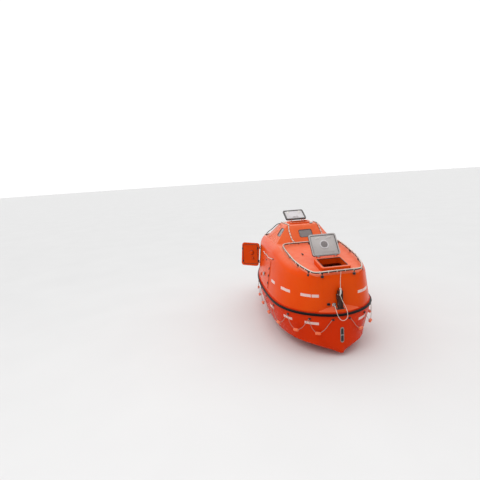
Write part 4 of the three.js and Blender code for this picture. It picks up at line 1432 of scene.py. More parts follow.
@dataclass
class RailRopes:
    """Pale rope lashed along the deck rails, with wraps and clamps, and down the wheelhouse corners."""

    shop: Workshop
    pipe_radius: float = 0.014
    radius: float = 0.012
    wrap_step: float = 0.2
    wrap_half: Pair = (0.021, 0.03)
    wrap_shifts: tuple[float, ...] = (-0.006, 0, 0.006)
    wrap_radius: float = 0.0035
    corner_radius: float = 0.015
    whipping_every: int = 14
    whipping_profile: Outline = ((0.9, -0.009), (1.13, -0.007), (1.13, 0.007), (0.9, 0.009))
    clamp_profile: Outline = (
        (0.011, -0.012), (0.018, -0.008), (0.022, 0.006), (0.021, 0.02), (0.017, 0.03), (0.009, 0.034),
    )
    foot_profile: Outline = ((0.034, -0.03), (0.034, 0.012), (0.03, 0.016), (0.012, 0.02))
    fore: Outline = (
        (0.905, 0.56), (0.93, 0.7), (1.04, 0.78), (1.3, 0.805), (1.7, 0.805), (2.08, 0.785),
        (2.4, 0.725), (2.64, 0.645), (2.756, 0.58), (2.796, 0.49), (2.8, 0.24), (2.8, 0.0),
    )
    aft: Outline = (
        (-1.64, 0.4), (-1.68, 0.5), (-1.78, 0.56), (-2.05, 0.58), (-2.3, 0.53), (-2.48, 0.43),
        (-2.56, 0.3), (-2.575, 0.15), (-2.575, 0.0),
    )
    fore_clamps: Outline = ((1.04, 0.78), (1.7, 0.805), (2.24, 0.76), (2.64, 0.645), (2.799, 0.38))
    corner_rope: tuple[Triple, ...] = (
        (-0.3, -0.44, 2.345), (-0.1, -0.43, 2.345), (0.12, -0.425, 2.345), (0.3, -0.42, 2.345),
        (0.395, -0.42, 2.33), (0.5, -0.439, 2.197), (0.627, -0.435, 2.061), (0.743, -0.42, 1.947),
        (0.82, -0.37, 1.88), (0.86, -0.3, 1.862),
    )
    port_corner_rope: tuple[Triple, ...] = (
        (0.1, 0.425, 2.345), (0.3, 0.42, 2.345), (0.4, 0.42, 2.325), (0.46, 0.43, 2.24),
        (0.581, 0.457, 2.091), (0.7, 0.47, 1.96), (0.8, 0.52, 1.88), (0.88, 0.57, 1.89),
    )

    def build(self) -> None:
        """Makes every length of rope on the rails and the wheelhouse."""
        for name, half in (("fore", self.fore), ("aft", self.aft)):
            port = [Vector((x, y, deck_height(x) + RAIL_LIFT)) for x, y in half]
            starboard = [Vector((p.x, -p.y, p.z)) for p in reversed(port[:-1])]
            pipe = smooth_line(port + starboard, 0.008)
            lift = Vector((0, 0, self.pipe_radius + self.radius * 0.8))
            draft = Draft()
            draft.laid([spot + lift for spot in pipe], self.radius)
            start, end = port[0] + lift * 0.9, starboard[-1] + lift * 0.9
            draft.laid(evenly([start, end], 0.008), self.radius)
            self.shop.place(draft, f"{name}_rail_rope", ROPE, slot="rope", sharp=80.0)
            self._wraps(name, pipe)
        self._corners()

    def _wraps(self, name: str, pipe: Sequence[Vector]) -> None:
        """Winds short lashings round the rail and its rope.

        Args:
            name: The rail's name.
            pipe: The rail's centreline.
        """
        draft = Draft()
        every = round(self.wrap_step / (pipe[1] - pipe[0]).length)
        centre = Vector((0, 0, self.radius * 0.8))
        for i in range(every // 2, len(pipe) - 2, every):
            along = (pipe[i + 1] - pipe[i - 1]).normalized()
            plane = Plane.facing(pipe[i] + centre, along)
            narrow, tall = self.wrap_half
            for shift in self.wrap_shifts:
                draft.hoop(plane.circle(narrow, shift, 14, tall), self.wrap_radius, 6)
        self.shop.place(draft, f"{name}_rail_wraps", ROPE, slot="rope", sharp=80.0)
        if name == "fore":
            self._stops()

    def _stops(self) -> None:
        """Puts a black clamp where each stanchion meets the fore rail."""
        draft = Draft()
        for x, y in self.fore_clamps:
            for side in (1, -1):
                foot = Vector((x, y * side, deck_height(x) + RAIL_LIFT - 0.026))
                plane = Plane.facing(foot, (0, 0, 1))
                draft.lathe(plane, self.clamp_profile, 14)
                collar = Plane.facing(foot + Vector((0, 0, 0.002 - RAIL_LIFT)), (0, 0, 1))
                draft.lathe(collar, self.foot_profile, 16)
        self.shop.place(draft, "fore_rail_stops", BLACK_METAL, slot="black_metal")

    def _corners(self) -> None:
        """Runs the ropes over the roof's edge and down the front corners."""
        wheelhouse = self.shop.surface("wheelhouse")
        draft, whippings = Draft(), Draft()
        for route in (self.corner_rope, self.port_corner_rope):
            line = smooth_line(route, 0.03)
            rested = smooth_line([wheelhouse.near(spot, self.corner_radius * 1.05) for spot in line], 0.008)
            draft.laid(rested, self.corner_radius)
            for i in range(self.whipping_every // 2, len(rested) - 2, self.whipping_every):
                along = (rested[i + 1] - rested[i - 1]).normalized()
                plane = Plane.facing(rested[i], along)
                profile = [(self.corner_radius * share, out) for share, out in self.whipping_profile]
                whippings.lathe(plane, profile, 12)
        self.shop.place(draft, "wheelhouse_corner_ropes", ROPE, slot="rope", sharp=80.0)
        self.shop.place(whippings, "wheelhouse_rope_whippings", BLACK_PLASTIC, slot="rope")


@dataclass
class SideFittings:
    """Grab ropes, seals, handles and latches of the side doors, and the canopy's seams."""

    shop: Workshop
    rope_radius: float = 0.009
    rope_line: Outline = (
        (-0.18, 1.51), (-0.1, 1.53), (0.12, 1.505), (0.34, 1.528), (0.6, 1.5), (0.86, 1.53),
        (1.06, 1.545),
    )
    pads: Outline = ((-0.19, 1.512), (0.34, 1.532), (1.075, 1.545))
    seams: tuple[float, ...] = (0.95, -0.5)
    doorways: tuple[Outline, ...] = (
        ((-0.17, 0.665), (0.88, 1.45)), ((-1.37, 0.77), (-0.77, 1.56)),
    )
    corner: float = 0.09
    seal_radius: float = 0.0028
    handle_place: Pair = (0.341, 0.973)
    slot_place: Pair = (0.4, 1.395)
    dog_places: Outline = ((0.845, 1.25), (0.845, 0.85), (0.845, 1.05))
    boss_profile: Outline = ((0.034, -0.002), (0.034, 0.005), (0.018, 0.009), (0.016, 0.026), (0.001, 0.026))
    open_look: Triple = (0.91, -0.42, 0.03)
    knobs: tuple[tuple[Triple, float, float], ...] = (
        ((-1.436, -1.217, 1.249), 0.066, 0.07), ((-1.418, -1.193, 1.06), 0.038, 0.03),
    )
    dome_profile: Outline = ((1.0, 0.3), (0.86, 0.72), (0.5, 0.95))
    bead_heights: tuple[float, ...] = (0.66, 0.8, 0.95, 1.1, 1.25, 1.4, 1.5)

    def build(self) -> None:
        """Makes the fittings of both sides."""
        canopy = self.shop.surface("canopy_fore", "canopy_mid", "canopy_aft")
        for side_name, side in SIDES:
            rope, pads = Draft(), Draft()
            line = []
            for spot in smooth_line([(x, 0, z) for x, z in self.rope_line], 0.04):
                hit = canopy.abeam(spot.x, spot.z, side)
                if hit:
                    line.append(hit[0] + hit[1] * self.rope_radius * 1.6)
            rope.laid(smooth_line(line, 0.008), self.rope_radius)
            for x, z in self.pads:
                hit = canopy.abeam(x, z, side)
                if hit:
                    self._eye(pads, Plane.facing(*hit))
            self.shop.place(rope, f"grab_rope_{side_name}", ROPE, slot="rope", sharp=80.0)
            self.shop.place(pads, f"grab_rope_eyes_{side_name}", BLACK_METAL, slot="black_metal")
            self._mid_door(side_name, side)
            self._frames(canopy, side_name, side)
        self._open_door()
        self._shut_door()
        self._seam_beads(canopy)

    def _frames(self, canopy: Surface, side_name: str, side: int) -> None:
        """Runs a thin seal round each doorway of one side.

        Args:
            canopy: The canopy's surface.
            side_name: The side's name.
            side: -1 to starboard and 1 to port.
        """
        draft = Draft()
        for low, high in self.doorways:
            middle = Vector(((low[0] + high[0]) / 2, 0, (low[1] + high[1]) / 2))
            half = ((high[0] - low[0]) / 2, (high[1] - low[1]) / 2)
            outer = rounded_outline(half[0] + 0.004, half[1] + 0.004, self.corner + 0.004, 8)
            inner = rounded_outline(half[0] - 0.003, half[1] - 0.003, self.corner - 0.003, 8)
            loop = []
            for (a, b), (c, d) in zip(outer, inner):
                hit = canopy.abeam(middle.x + a, middle.z + b, side)
                if hit and abs(hit[0].y) > 0.8:
                    loop.append(Vector((middle.x + c, hit[0].y - side * 0.002, middle.z + d)))
            draft.hoop(loop, self.seal_radius)
        self.shop.place(draft, f"doorway_seals_{side_name}", SEAL, slot="black_metal")

    @staticmethod
    def _eye(draft: Draft, plane: Plane) -> None:
        """Makes a pad with an eye that stands out of it."""
        draft.slab(plane, (0.026, 0.02), (-0.002, 0.005), 0.008)
        draft.tube(plane.arch(0.013, 0.026, 0, 0.004), 0.004, 8)

    def _mid_door(self, side_name: str, side: int) -> None:
        """Dresses one middle door: star handle, a painted shade plate for the slot, and dogs.

        Args:
            side_name: The side's name.
            side: -1 to starboard and 1 to port.
        """
        node = f"door_mid_{side_name}"
        leaf = self.shop.surface(node)
        dark, steel, slot_shade = Draft(), Draft(), Draft()
        plane = self._outside(leaf, self.handle_place, side)
        dark.lathe(plane, self.boss_profile, 20)
        self._star(steel, plane, 0.066, (0.022, 0.044))
        steel.bolt(Plane.facing(plane.at(0, 0, 0.043), plane.out), 0.01, 0.006)
        # A dark plate on the door face: painted shade for the slot.
        slot_shade.slab(self._outside(leaf, self.slot_place, side), (0.07, 0.016), (-0.003, 0.0015), 0.014, 0.001)
        for place in self.dog_places:
            self._dog(dark, self._outside(leaf, place, side))
        self.shop.place(dark, f"mid_door_handle_{side_name}", BLACK_PLASTIC, node, "black_metal")
        self.shop.place(steel, f"mid_door_star_{side_name}", LINER, node, "stainless")
        self.shop.place(slot_shade, f"mid_door_slot_shade_{side_name}", PAINTED_SHADE_RECESS, node, "black_metal")

    @staticmethod
    def _outside(leaf: Surface, place: Pair, side: int) -> Plane:
        """Gives the plane of a leaf's outer face at a place along and up."""
        return Plane.facing(*leaf.abeam(*place, side))

    @staticmethod
    def _star(draft: Draft, plane: Plane, radius: float, span: Pair) -> None:
        """Makes a five-lobed hand knob.

        Args:
            draft: The draft that takes it.
            plane: The plane that it faces along.
            radius: Its reach.
            span: Where it starts and ends, outward.
        """
        rings = []
        for scale, out in ((0.82, span[0]), (1.0, span[0] + 0.004), (1.0, span[1] - 0.004), (0.84, span[1])):
            ring = []
            for k in range(40):
                turn = 2 * math.pi * k / 40
                reach = radius * scale * (0.76 + 0.24 * math.cos(5 * turn))
                ring.append(plane.at(reach * math.cos(turn), reach * math.sin(turn), out))
            rings.append(ring)
        draft.skin(rings)

    @staticmethod
    def _dog(draft: Draft, plane: Plane) -> None:
        """Makes a small swinging latch.

        Args:
            draft: The draft that takes it.
            plane: The plane that it stands on.
        """
        draft.slab(plane, (0.022, 0.03), (-0.002, 0.006), 0.008)
        draft.lathe(plane.moved(0, 0, 0.006), [(0.012, -0.001), (0.012, 0.008), (0.008, 0.012)], 14)
        draft.slab(plane.moved(0, -0.022, 0.012), (0.007, 0.03), (-0.004, 0.004), 0.006)

    @staticmethod
    def _seal(draft: Draft, leaf: Surface, plane: Plane, inset: float, corner: float, radius: float) -> None:
        """Runs a seal round a door's inner face.

        Args:
            draft: The draft that takes it.
            leaf: The door's surface.
            plane: The plane of its inner face.
            inset: How far in from the edge it runs.
            corner: The corners' radius.
            radius: The seal's radius.
        """
        loop = []
        for a, b in rounded_outline(plane.half_across - inset, plane.half_up - inset, corner, 8):
            hit = leaf.cast(plane.at(a, b, 0.2), -plane.out)
            loop.append((hit[0] if hit else plane.at(a, b)) + plane.out * radius * 0.4)
        draft.hoop(loop, radius)

    def _open_door(self) -> None:
        """Dresses the inner face of the door that stands open at rest."""
        body = "door_aft_starboard"
        leaf = self.shop.surface(body)
        plane = leaf_plane(self.shop.nodes[body], self.open_look)
        seal, knob, steel = Draft(), Draft(), Draft()
        self._seal(seal, leaf, plane, 0.078, 0.06, 0.006)
        for point, radius, rise in self.knobs:
            offset = Vector(point) - plane.origin
            hit = leaf.cast(plane.at(offset.dot(plane.across), offset.dot(plane.up), 0.2), -plane.out)
            spot = Plane.facing(hit[0], plane.out)
            dome = [(radius * share, rise * height) for share, height in self.dome_profile]
            knob.lathe(spot, [(radius, -0.003), *dome, (0.002, rise)], 26)
            steel.hoop(spot.circle(radius * 1.1, 0.002, 28), 0.004)
        for edge in (-1, 1):
            for height in (-0.55, 0.5):
                above = plane.at(edge * plane.half_across * 0.8, plane.half_up * height, 0.2)
                hit = leaf.cast(above, -plane.out)
                if hit:
                    self._dog(steel, Plane.facing(hit[0], plane.out))
        self.shop.place(seal, "aft_door_seal_starboard", SEAL, body, "black_metal")
        self.shop.place(knob, "aft_door_knobs_starboard", CANOPY, body, "canopy_grp")
        self.shop.place(steel, "aft_door_catches_starboard", BLACK_METAL, body, "black_metal")

    def _shut_door(self) -> None:
        """Puts a handle on the aft doors' outer faces."""
        outer = -Vector(self.open_look)
        for body, out in (("door_aft_port", (0, 1, 0.2)), ("door_aft_starboard", outer)):
            plane = leaf_plane(self.shop.nodes[body], out)
            leaf = self.shop.surface(body)
            dark = Draft()
            hit = leaf.cast(plane.at(0, 0, 0.2), -plane.out)
            spot = Plane.facing(*hit)
            dark.lathe(spot, self.boss_profile, 20)
            self._star(dark, spot, 0.045, (0.022, 0.042))
            self.shop.place(dark, f"{body}_handle", BLACK_PLASTIC, body, "black_metal")

    def _seam_beads(self, canopy: Surface) -> None:
        """Lays a thin bead over each joint between the canopy's mouldings.

        Args:
            canopy: The canopy's surface.
        """
        draft = Draft()
        for x in self.seams:
            for side in (-1, 1):
                line = []
                for z in self.bead_heights:
                    hit = canopy.abeam(x + 0.004, z, side)
                    if hit:
                        line.append(hit[0])
                if len(line) > 2:
                    draft.tube(smooth_line(line, 0.05), 0.004, 8)
        self.shop.place(draft, "canopy_seam_beads", HULL)


@dataclass
class HatchFittings:
    """Seals, liners, port, handles and catches of both hatches."""

    shop: Workshop
    port_radius: float = 0.118
    port_bolts: int = 8
    ring_profile: Outline = (
        (0.72, 0.0), (0.97, 0.0), (1.0, 0.006), (0.95, 0.012), (0.79, 0.013), (0.73, 0.008), (0.72, 0.0),
    )
    pane_profile: Outline = ((0.735, -0.002), (0.735, 0.004), (0.6, 0.007))
    handle_route: Outline = ((0.05, -0.004), (0.045, 0.018), (0.03, 0.03))
    grip_route: Outline = ((0.08, -0.004), (0.075, 0.02), (0.055, 0.03))
    catch_route: Outline = ((-0.03, 0.008), (-0.026, 0.034), (0.004, 0.044), (0.03, 0.04), (0.044, 0.02))
    liner_inset: float = 0.043
    coaming_x: float = 2.43
    coaming_seal_rise: float = 0.1235
    coaming_seal_half: Pair = (0.2335, 0.2955)

    def build(self) -> None:
        """Dresses both lids and the fore coaming."""
        self._lid("fore_hatch_lid", FORE_LID_LOOK, LINER, (0.037, 0.004, 0.0))
        self._lid("roof_hatch_lid", ROOF_LID_LOOK, PALE_LID, (0.022, 0.009, 0.0088))
        self._fore_port()
        self._roof_catches()
        self._coaming_seal()

    @staticmethod
    def _depth(leaf: Surface, plane: Plane, across: float, up: float) -> float:
        """Gives how far out a lid's inner face lies at a place of its plane."""
        return (leaf.cast(plane.at(across, up, 0.3), -plane.out)[0] - plane.origin).dot(plane.out)

    @staticmethod
    def _bow(plane: Plane, half_route: Outline) -> list[Vector]:
        """Gives the smooth line of a handle that is alike at both ends.

        Args:
            plane: The plane that it stands on.
            half_route: Pairs of distance along and out, from its end to its middle.

        Returns:
            Points of the whole handle.
        """
        bar = [plane.at(-along, 0, out) for along, out in half_route]
        bar += [plane.at(along, 0, out) for along, out in reversed(half_route)]
        return smooth_line(bar, 0.006)

    def _coaming_seal(self) -> None:
        """Runs a black seal round the fore coaming's inner edge."""
        slope = (DECK_Z - FORE_END_Z) / (FORE_FACE - FORE_KNEE)
        ahead = Vector((1, 0, -slope)).normalized()
        up = Vector((slope, 0, 1)).normalized()
        foot = Vector((self.coaming_x, 0, deck_height(self.coaming_x)))
        plane = Plane(foot, ahead, TO_PORT, up)
        draft = Draft()
        draft.rim(plane, self.coaming_seal_half, 0.034, self.coaming_seal_rise, 0.008)
        self.shop.place(draft, "fore_coaming_seal", SEAL, slot="black_metal")

    def _lid(self, body: str, hint: Triple, finish: Finish, seal_at: Triple) -> None:
        """Puts the liner and the seal in a lid's inner face.

        Args:
            body: The lid.
            hint: About where its inner face looks.
            finish: The liner's finish.
            seal_at: How far in from the edge the seal runs, its radius, and how deep it is let in.
        """
        plane = leaf_plane(self.shop.nodes[body], hint)
        leaf = self.shop.surface(body)
        floor = self._depth(leaf, plane, 0.02, 0.02)
        top = self._depth(leaf, plane, plane.half_across - 0.02, 0)
        liner, seal = Draft(), Draft()
        half = (plane.half_across - self.liner_inset, plane.half_up - self.liner_inset)
        liner.slab(plane, half, (floor - 0.002, floor + 0.009), 0.034, 0.003)
        inner = (half[0] * 0.8, half[1] * 0.78)
        liner.slab(plane, inner, (floor, floor + 0.0125), 0.03, 0.003)
        inset, radius, sunk = seal_at
        seal.rim(plane, (plane.half_across - inset, plane.half_up - inset), 0.04, top - sunk, radius)
        self.shop.place(liner, f"{body}_liner", finish, body, "liner")
        self.shop.place(seal, f"{body}_seal", SEAL, body, "black_metal")

    def _fore_port(self) -> None:
        """Makes the fore lid's round port and its handles."""
        body = "fore_hatch_lid"
        plane = leaf_plane(self.shop.nodes[body], FORE_LID_LOOK)
        floor = self._depth(self.shop.surface(body), plane, 0.02, 0.02)
        ring, pane, handle = Draft(), Draft(), Draft()
        middle = plane.moved(0, 0.01, floor + 0.012)
        reach = self.port_radius
        ring.lathe(middle, [(reach * share, out) for share, out in self.ring_profile], 40)
        pane.lathe(middle, [*((reach * share, out) for share, out in self.pane_profile), (0.001, 0.009)], 32)
        for turn in range(self.port_bolts):
            angle = 2 * math.pi * turn / self.port_bolts
            spot = middle.at(reach * 0.87 * math.cos(angle), reach * 0.87 * math.sin(angle), 0.0125)
            ring.bolt(Plane.facing(spot, plane.out), 0.0045, 0.004)
        for side in (-1, 1):
            spot = plane.moved(side * plane.half_across * 0.42, plane.half_up * 0.62, floor + 0.009)
            handle.tube(self._bow(spot, self.handle_route), 0.007, 10)
        self.shop.place(ring, "fore_lid_port_ring", PALE_LID, body, "liner")
        self.shop.place(pane, "fore_lid_port_pane", GLASS, body, "glass")
        self.shop.place(handle, "fore_lid_handles", WHITE_PLASTIC, body, "liner")

    def _roof_catches(self) -> None:
        """Makes the roof lid's two catches and its handle."""
        body = "roof_hatch_lid"
        plane = leaf_plane(self.shop.nodes[body], ROOF_LID_LOOK)
        floor = self._depth(self.shop.surface(body), plane, 0.02, 0.02)
        catches, grip = Draft(), Draft()
        for side in (-1, 1):
            spot = plane.moved(side * plane.half_across * 0.56, plane.half_up * 0.46, floor + 0.009)
            catches.slab(spot, (0.03, 0.042), (-0.003, 0.012), 0.008)
            hook = [spot.at(0, along, out) for along, out in self.catch_route]
            catches.tube(smooth_line(hook, 0.005), 0.009, 10)
        low = plane.moved(0, -plane.half_up * 0.55, floor + 0.009)
        grip.tube(self._bow(low, self.grip_route), 0.008, 10)
        self.shop.place(catches, "roof_lid_catches", WHITE_PLASTIC, body, "liner")
        self.shop.place(grip, "roof_lid_grip", STAINLESS, body, "stainless")


@dataclass
class WindowSeals:
    """Black seals round the wheelhouse windows."""

    shop: Workshop
    corner: float = 0.045
    radius: float = 0.008
    panes: tuple[tuple[str, float, float], ...] = (
        ("window_front", 0.19, 0.125), ("window_aft", 0.24, 0.15), ("window_starboard", 0.15, 0.13),
        ("window_port", 0.15, 0.13),
    )
    looks: tuple[Triple, ...] = ((0.77, 0, 0.64), (-0.57, 0, 0.82), (0, -0.81, 0.59), (0, 0.81, 0.59))

    def build(self) -> None:
        """Makes a seal round each pane."""
        draft = Draft()
        for (name, half_a, half_b), hint in zip(self.panes, self.looks):
            plane = leaf_plane(self.shop.nodes[name], hint)
            outline = rounded_outline(half_a - 0.004, half_b - 0.004, self.corner, 6)
            draft.hoop([plane.at(a, b, 0.006) for a, b in outline], self.radius)
        self.shop.place(draft, "window_seals", SEAL, slot="black_metal")


@dataclass
class BowFittings:
    """Details of the hooks, the stem plate, the fairlead and the painter's release."""

    shop: Workshop
    hook_bow: Pair = (2.868, 0.68)
    hook_stern: Pair = (-2.812, 0.62)
    half_gap: float = 0.053
    pin_places: Outline = ((0.0, 0.34), (-0.022, 0.245), (0.02, 0.12))
    base_bolts: Outline = ((-0.048, -0.078), (-0.048, 0.078), (0.048, -0.078), (0.048, 0.078))
    lever_route: tuple[Triple, ...] = ((0.02, -0.058, 0.2), (0.03, -0.066, 0.23), (0.04, -0.066, 0.31))
    lever_knob: Outline = ((0.004, -0.004), (0.012, 0.0), (0.014, 0.012), (0.009, 0.022), (0.001, 0.024))
    plate_x: float = 2.958
    recess_heights: tuple[float, ...] = (0.162, -0.002)
    recess_half: float = 0.074
    plate_bolts: tuple[float, ...] = (0.2495, 0.08, -0.0895)
    fairlead: Pair = (-0.25, 0.786)
    release_bolts: Outline = ((-0.148, 0.708), (-0.148, 0.788), (-0.088, 0.708), (-0.088, 0.788))

    def build(self) -> None:
        """Makes the fittings at both ends."""
        for name, (x, z), end in (("bow", self.hook_bow, 1), ("stern", self.hook_stern, -1)):
            self._hook(name, x, z, end)
        self._stem()
        self._face()

    def _hook(self, name: str, x: float, z: float, end: int) -> None:
        """Adds pins, bolts and the reset lever to one hook post.

        Args:
            name: The hook's name.
            x: The post's place along the boat.
            z: The height of its base.
            end: 1 at the bow and -1 at the stern.
        """
        steel, lever = Draft(), Draft()
        for along, rise in self.pin_places:
            for side in (-1, 1):
                foot = Vector((x + along * end, side * self.half_gap, z + rise))
                steel.bolt(Plane.facing(foot, (0, side, 0)), 0.014 if rise > 0.3 else 0.009, 0.011)
        for along, across in self.base_bolts:
            steel.bolt(Plane.facing((x + along, across, z + 0.0163), (0, 0, 1)), 0.008, 0.008)
        arm = [(x - aft * end, across, z + rise) for aft, across, rise in self.lever_route]
        lever.tube(smooth_line(arm, 0.008), 0.006, 8)
        knob = Plane.facing(arm[-1], (-0.3 * end, 0, 1))
        lever.lathe(knob, self.lever_knob, 16)
        self.shop.place(steel, f"{name}_hook_bolts", STAINLESS, slot="stainless")
        self.shop.place(lever, f"{name}_hook_lever", BLACK_METAL, slot="black_metal")

    def _stem(self) -> None:
        """Puts painted shade plates for the recesses, their frames and the bolts on the stem plate."""
        dark, bright = Draft(), Draft()
        for z in self.recess_heights:
            plane = Plane.facing((self.plate_x, 0, z), (1, 0, 0))
            # Dark plates in the recesses: painted shade.
            dark.slab(plane, (0.031, self.recess_half), (-0.002, 0.0012), 0.026, 0.0008)
            outline = rounded_outline(0.034, self.recess_half + 0.003, 0.028, 6)
            bright.hoop([plane.at(a, b, 0.001) for a, b in outline], 0.0026)
        for z in self.plate_bolts:
            bright.bolt(Plane.facing((self.plate_x, 0, z), (1, 0, 0)), 0.006, 0.005)
        self.shop.place(dark, "stem_plate_recess_shade", PAINTED_SHADE_RECESS, slot="black_metal")
        self.shop.place(bright, "stem_plate_frames", STAINLESS, slot="stainless")

    def _face(self) -> None:
        """Puts the lip and a painted shade plate in the throat on the fairlead, and the bolts on the release.
        """
        lip, dark, steel = Draft(), Draft(), Draft()
        plane = Plane.facing((2.8203, *self.fairlead), (1, 0, 0))
        lip.rim(plane, (0.032, 0.021), 0.0205, 0.001, 0.006)
        throat = Plane.facing((2.803, *self.fairlead), (1, 0, 0))
        # A dark plate in the throat: painted shade for the opening.
        dark.slab(throat, (0.0255, 0.0155), (-0.001, 0.004), 0.0145, 0.001)
        self.shop.place(dark, "fairlead_throat_shade", PAINTED_SHADE_RECESS, slot="black_metal")
        for across, z in self.release_bolts:
            steel.bolt(Plane.facing((2.8123, across, z), (1, 0, 0)), 0.0055, 0.006)
        self.shop.place(lip, "fairlead_lip", BLACK_METAL, slot="black_metal")
        self.shop.place(steel, "release_bolts", STAINLESS, slot="stainless")


@dataclass
class Cabin:
    """Seat pads, gauges and what else shows through the open door and hatches."""

    shop: Workshop
    bench_top: float = 0.33
    bench_inner: float = 0.66
    pad_length: float = 0.46
    pad_places: tuple[float, ...] = (-1.34, -0.86, -0.38, 0.1, 0.58, 1.06, 1.54)
    sole_z: float = -0.0395
    seat_place: Triple = (-0.48, 0.0, 1.071)
    back_place: Triple = (-0.7095, 0.0, 1.295)
    column_profile: Outline = (
        (0.085, 0.01), (0.06, 0.03), (0.055, 0.06), (0.055, 1.04), (0.1, 1.08), (0.1, 1.1),
    )
    arm_spread: float = 0.11
    arm_route: Outline = ((-0.64, 1.074), (-0.69, 1.08), (-0.704, 1.12), (-0.7045, 1.3))
    console_x: float = 0.3298
    dial_z: float = 1.43
    dial_places: tuple[float, ...] = (-0.13, 0.0, 0.13)
    switch_z: float = 1.33
    switch_places: tuple[float, ...] = (-0.15, -0.1, 0.1, 0.15)
    throttle_route: tuple[Triple, ...] = ((0.42, 0.17, 1.49), (0.41, 0.17, 1.54), (0.39, 0.17, 1.585))
    throttle_knob: Outline = ((0.006, -0.01), (0.018, 0.0), (0.018, 0.02), (0.008, 0.03), (0.001, 0.031))
    casing_top: float = 0.519
    casing_half: float = 0.279
    casing_fore: float = -1.001
    rib_places: tuple[float, float, int] = (-1.62, 0.115, 5)
    slat_places: tuple[float, float, int] = (0.16, 0.035, 6)
    casing_catches: tuple[float, ...] = (-1.6, -1.18)

    def build(self) -> None:
        """Makes the bench pads, the helm seat and the details of console and engine."""
        for side_name, side in SIDES:
            bench = self.shop.surface(f"bench_{side_name}")
            pads = Draft()
            for x in self.pad_places:
                ends = (-self.pad_length / 2, 0, self.pad_length / 2)
                reach = min(self._outer(bench, x + shift, side) for shift in ends) - 0.02
                half = (reach - self.bench_inner) / 2
                middle = Vector((x, side * (self.bench_inner + half), self.bench_top + 0.0005))
                pads.wad(Plane(middle, AHEAD, TO_PORT, UPWARD), (self.pad_length / 2, half), 0.03, 0.012)
            piece = self.shop.place(pads, f"bench_pads_{side_name}", CUSHION, slot="seat_cover", sharp=70.0)
        self._helm_seat()
        self._console()
        self._engine()

    def _helm_seat(self) -> None:
        """Makes the helm seat: a pedestal, two shells and two stuffed pads."""
        stand, pads = Draft(), Draft()
        column = Plane.facing((*self.seat_place[:2], self.sole_z), UPWARD, AHEAD)
        stand.slab(column, (0.11, 0.11), (0.0, 0.014), 0.03, 0.003)
        stand.lathe(column, self.column_profile, 28)
        seat = Plane(Vector(self.seat_place), AHEAD, TO_PORT, UPWARD)
        stand.slab(seat, (0.19, 0.19), (-0.011, 0.006), 0.05, 0.004)
        back = Plane(Vector(self.back_place), TO_PORT, UPWARD, AHEAD)
        stand.slab(back, (0.185, 0.2), (0.0, 0.01), 0.05, 0.003)
        for side in (-1, 1):
            arm = [(x, side * self.arm_spread, z) for x, z in self.arm_route]
            stand.tube(smooth_line(arm, 0.02), 0.006, 10)
        pads.wad(seat.moved(0, 0, 0.004), (0.208, 0.208), 0.05, 0.024)
        pads.wad(back.moved(0, 0, 0.008), (0.196, 0.21), 0.036, 0.02)
        self.shop.place(stand, "helm_seat_stand", BLACK_METAL, slot="black_metal")
        piece = self.shop.place(pads, "helm_seat_pads", CUSHION, slot="seat_cover", sharp=70.0)
        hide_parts("helm_seat")

    @staticmethod
    def _outer(bench: Surface, x: float, side: int) -> float:
        """Gives the bench's outer breadth at a place along it."""
        hit = bench.abeam(x, 0.31, side)
        return abs(hit[0].y) if hit else 1.0

    def _console(self) -> None:
        """Puts gauges, switches and a throttle on the console."""
        dials, rims, lever = Draft(), Draft(), Draft()
        for across in self.dial_places:
            plane = Plane.facing((self.console_x, across, self.dial_z), (-1, 0, 0))
            dials.lathe(plane, [(0.03, -0.002), (0.03, 0.003), (0.001, 0.004)], 24)
            rims.hoop(plane.circle(0.033, 0.003, 24), 0.004)
        for across in self.switch_places:
            plane = Plane.facing((self.console_x, across, self.switch_z), (-1, 0, 0))
            rims.slab(plane, (0.012, 0.018), (-0.002, 0.006), 0.004)
        lever.tube(smooth_line(self.throttle_route, 0.01), 0.008, 8)
        lever.lathe(Plane.facing(self.throttle_route[-1], (-0.4, 0, 1)), self.throttle_knob, 16)
        self.shop.place(dials, "console_dials", DIAL, slot="console_black")
        self.shop.place(rims, "console_switches", BLACK_PLASTIC, slot="console_black")
        self.shop.place(lever, "console_throttle", STAINLESS, slot="stainless")

    def _engine(self) -> None:
        """Puts a ribbed lid, a grille and catches on the engine casing."""
        ribs, steel = Draft(), Draft()
        first, step, count = self.rib_places
        for i in range(count):
            plane = Plane.facing((first + i * step, 0, self.casing_top), (0, 0, 1), (1, 0, 0))
            ribs.slab(plane, (0.2, 0.018), (-0.002, 0.012), 0.01, 0.004)
        for side in (-1, 1):
            for x in self.casing_catches:
                plane = Plane.facing((x, side * self.casing_half, self.casing_top - 0.099), (0, side, 0))
                steel.slab(plane, (0.016, 0.04), (-0.002, 0.012), 0.006)
        first, step, count = self.slat_places
        for i in range(count):
            plane = Plane.facing((self.casing_fore, 0, first + i * step), (1, 0, 0))
            ribs.slab(plane, (0.16, 0.01), (-0.002, 0.008), 0.004, 0.002)
        self.shop.place(ribs, "engine_casing_ribs", ENGINE, slot="engine")
        self.shop.place(steel, "engine_casing_catches", STAINLESS, slot="stainless")


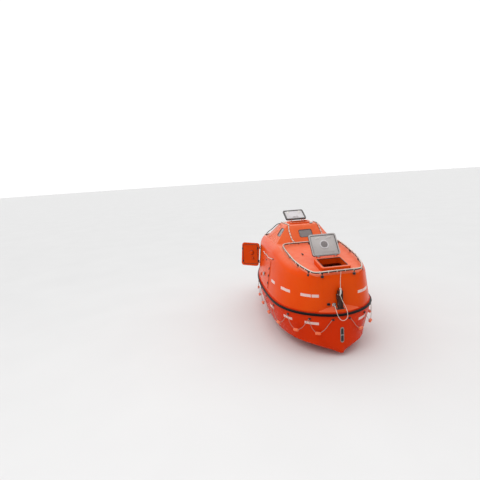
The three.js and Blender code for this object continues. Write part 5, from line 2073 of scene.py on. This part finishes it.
@dataclass
class SternGear:
    """The propeller's nut, the stock's bolts and the hull's anodes."""

    shop: Workshop
    shaft: Triple = (-2.55, 0.0, -0.16)
    nut_profile: Outline = ((0.02, -0.004), (0.02, 0.012), (0.013, 0.02), (0.001, 0.022))
    boss_z: float = 0.085
    boss_bolts: tuple[int, float] = (6, 0.034)
    anode_places: tuple[float, ...] = (-2.15, -1.7)
    anode_z: float = -0.15
    anode_bolts: Pair = (-0.05, 0.05)

    def build(self) -> None:
        """Makes the stern's small parts."""
        nut, bolts, zinc = Draft(), Draft(), Draft()
        tail = Plane.facing((self.shaft[0] - 0.046, 0, self.shaft[2]), (-1, 0, 0))
        nut.lathe(tail, self.nut_profile, 6)
        self.shop.place(nut, "propeller_nut", BRONZE, "propeller", "bronze")
        count, ring = self.boss_bolts
        for turn in range(count):
            angle = math.pi * (2 * turn + 1) / count
            spot = (self.shaft[0] + ring * math.cos(angle), ring * math.sin(angle), self.boss_z)
            bolts.bolt(Plane.facing(spot, (0, 0, -1)), 0.006, 0.007)
        self.shop.place(bolts, "stock_boss_bolts", STAINLESS, slot="stainless")
        hull = self.shop.surface("hull")
        for side in (-1, 1):
            for x in self.anode_places:
                hit = hull.abeam(x, self.anode_z, side)
                if hit:
                    plane = Plane.facing(*hit)
                    zinc.slab(plane, (0.09, 0.032), (-0.004, 0.018), 0.02, 0.006)
                    for across in self.anode_bolts:
                        zinc.bolt(Plane.facing(plane.at(across, 0, 0.018), plane.out), 0.008, 0.006)
        self.shop.place(zinc, "hull_anodes", ZINC, slot="stainless")


def corners(box: tuple[Vector, Vector]) -> list[list[float]]:
    """Gives a box as plain lists of numbers."""
    return [[float(value) for value in corner] for corner in box]


def main() -> None:
    """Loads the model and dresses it."""
    logging.basicConfig(level=logging.INFO, format="%(name)s: %(message)s")
    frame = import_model()
    shop = Workshop(frame)
    Viewpoint().build()
    for assembly in (Painter, Coatings, ReflectiveTapes, Lifelines, RailRopes, SideFittings, HatchFittings,
                     WindowSeals, BowFittings, Cabin, SternGear):
        assembly(shop).build()
        LOG.info("%s is built", assembly.__name__)
    Studio().build()


if __name__ == "__main__":
    main()
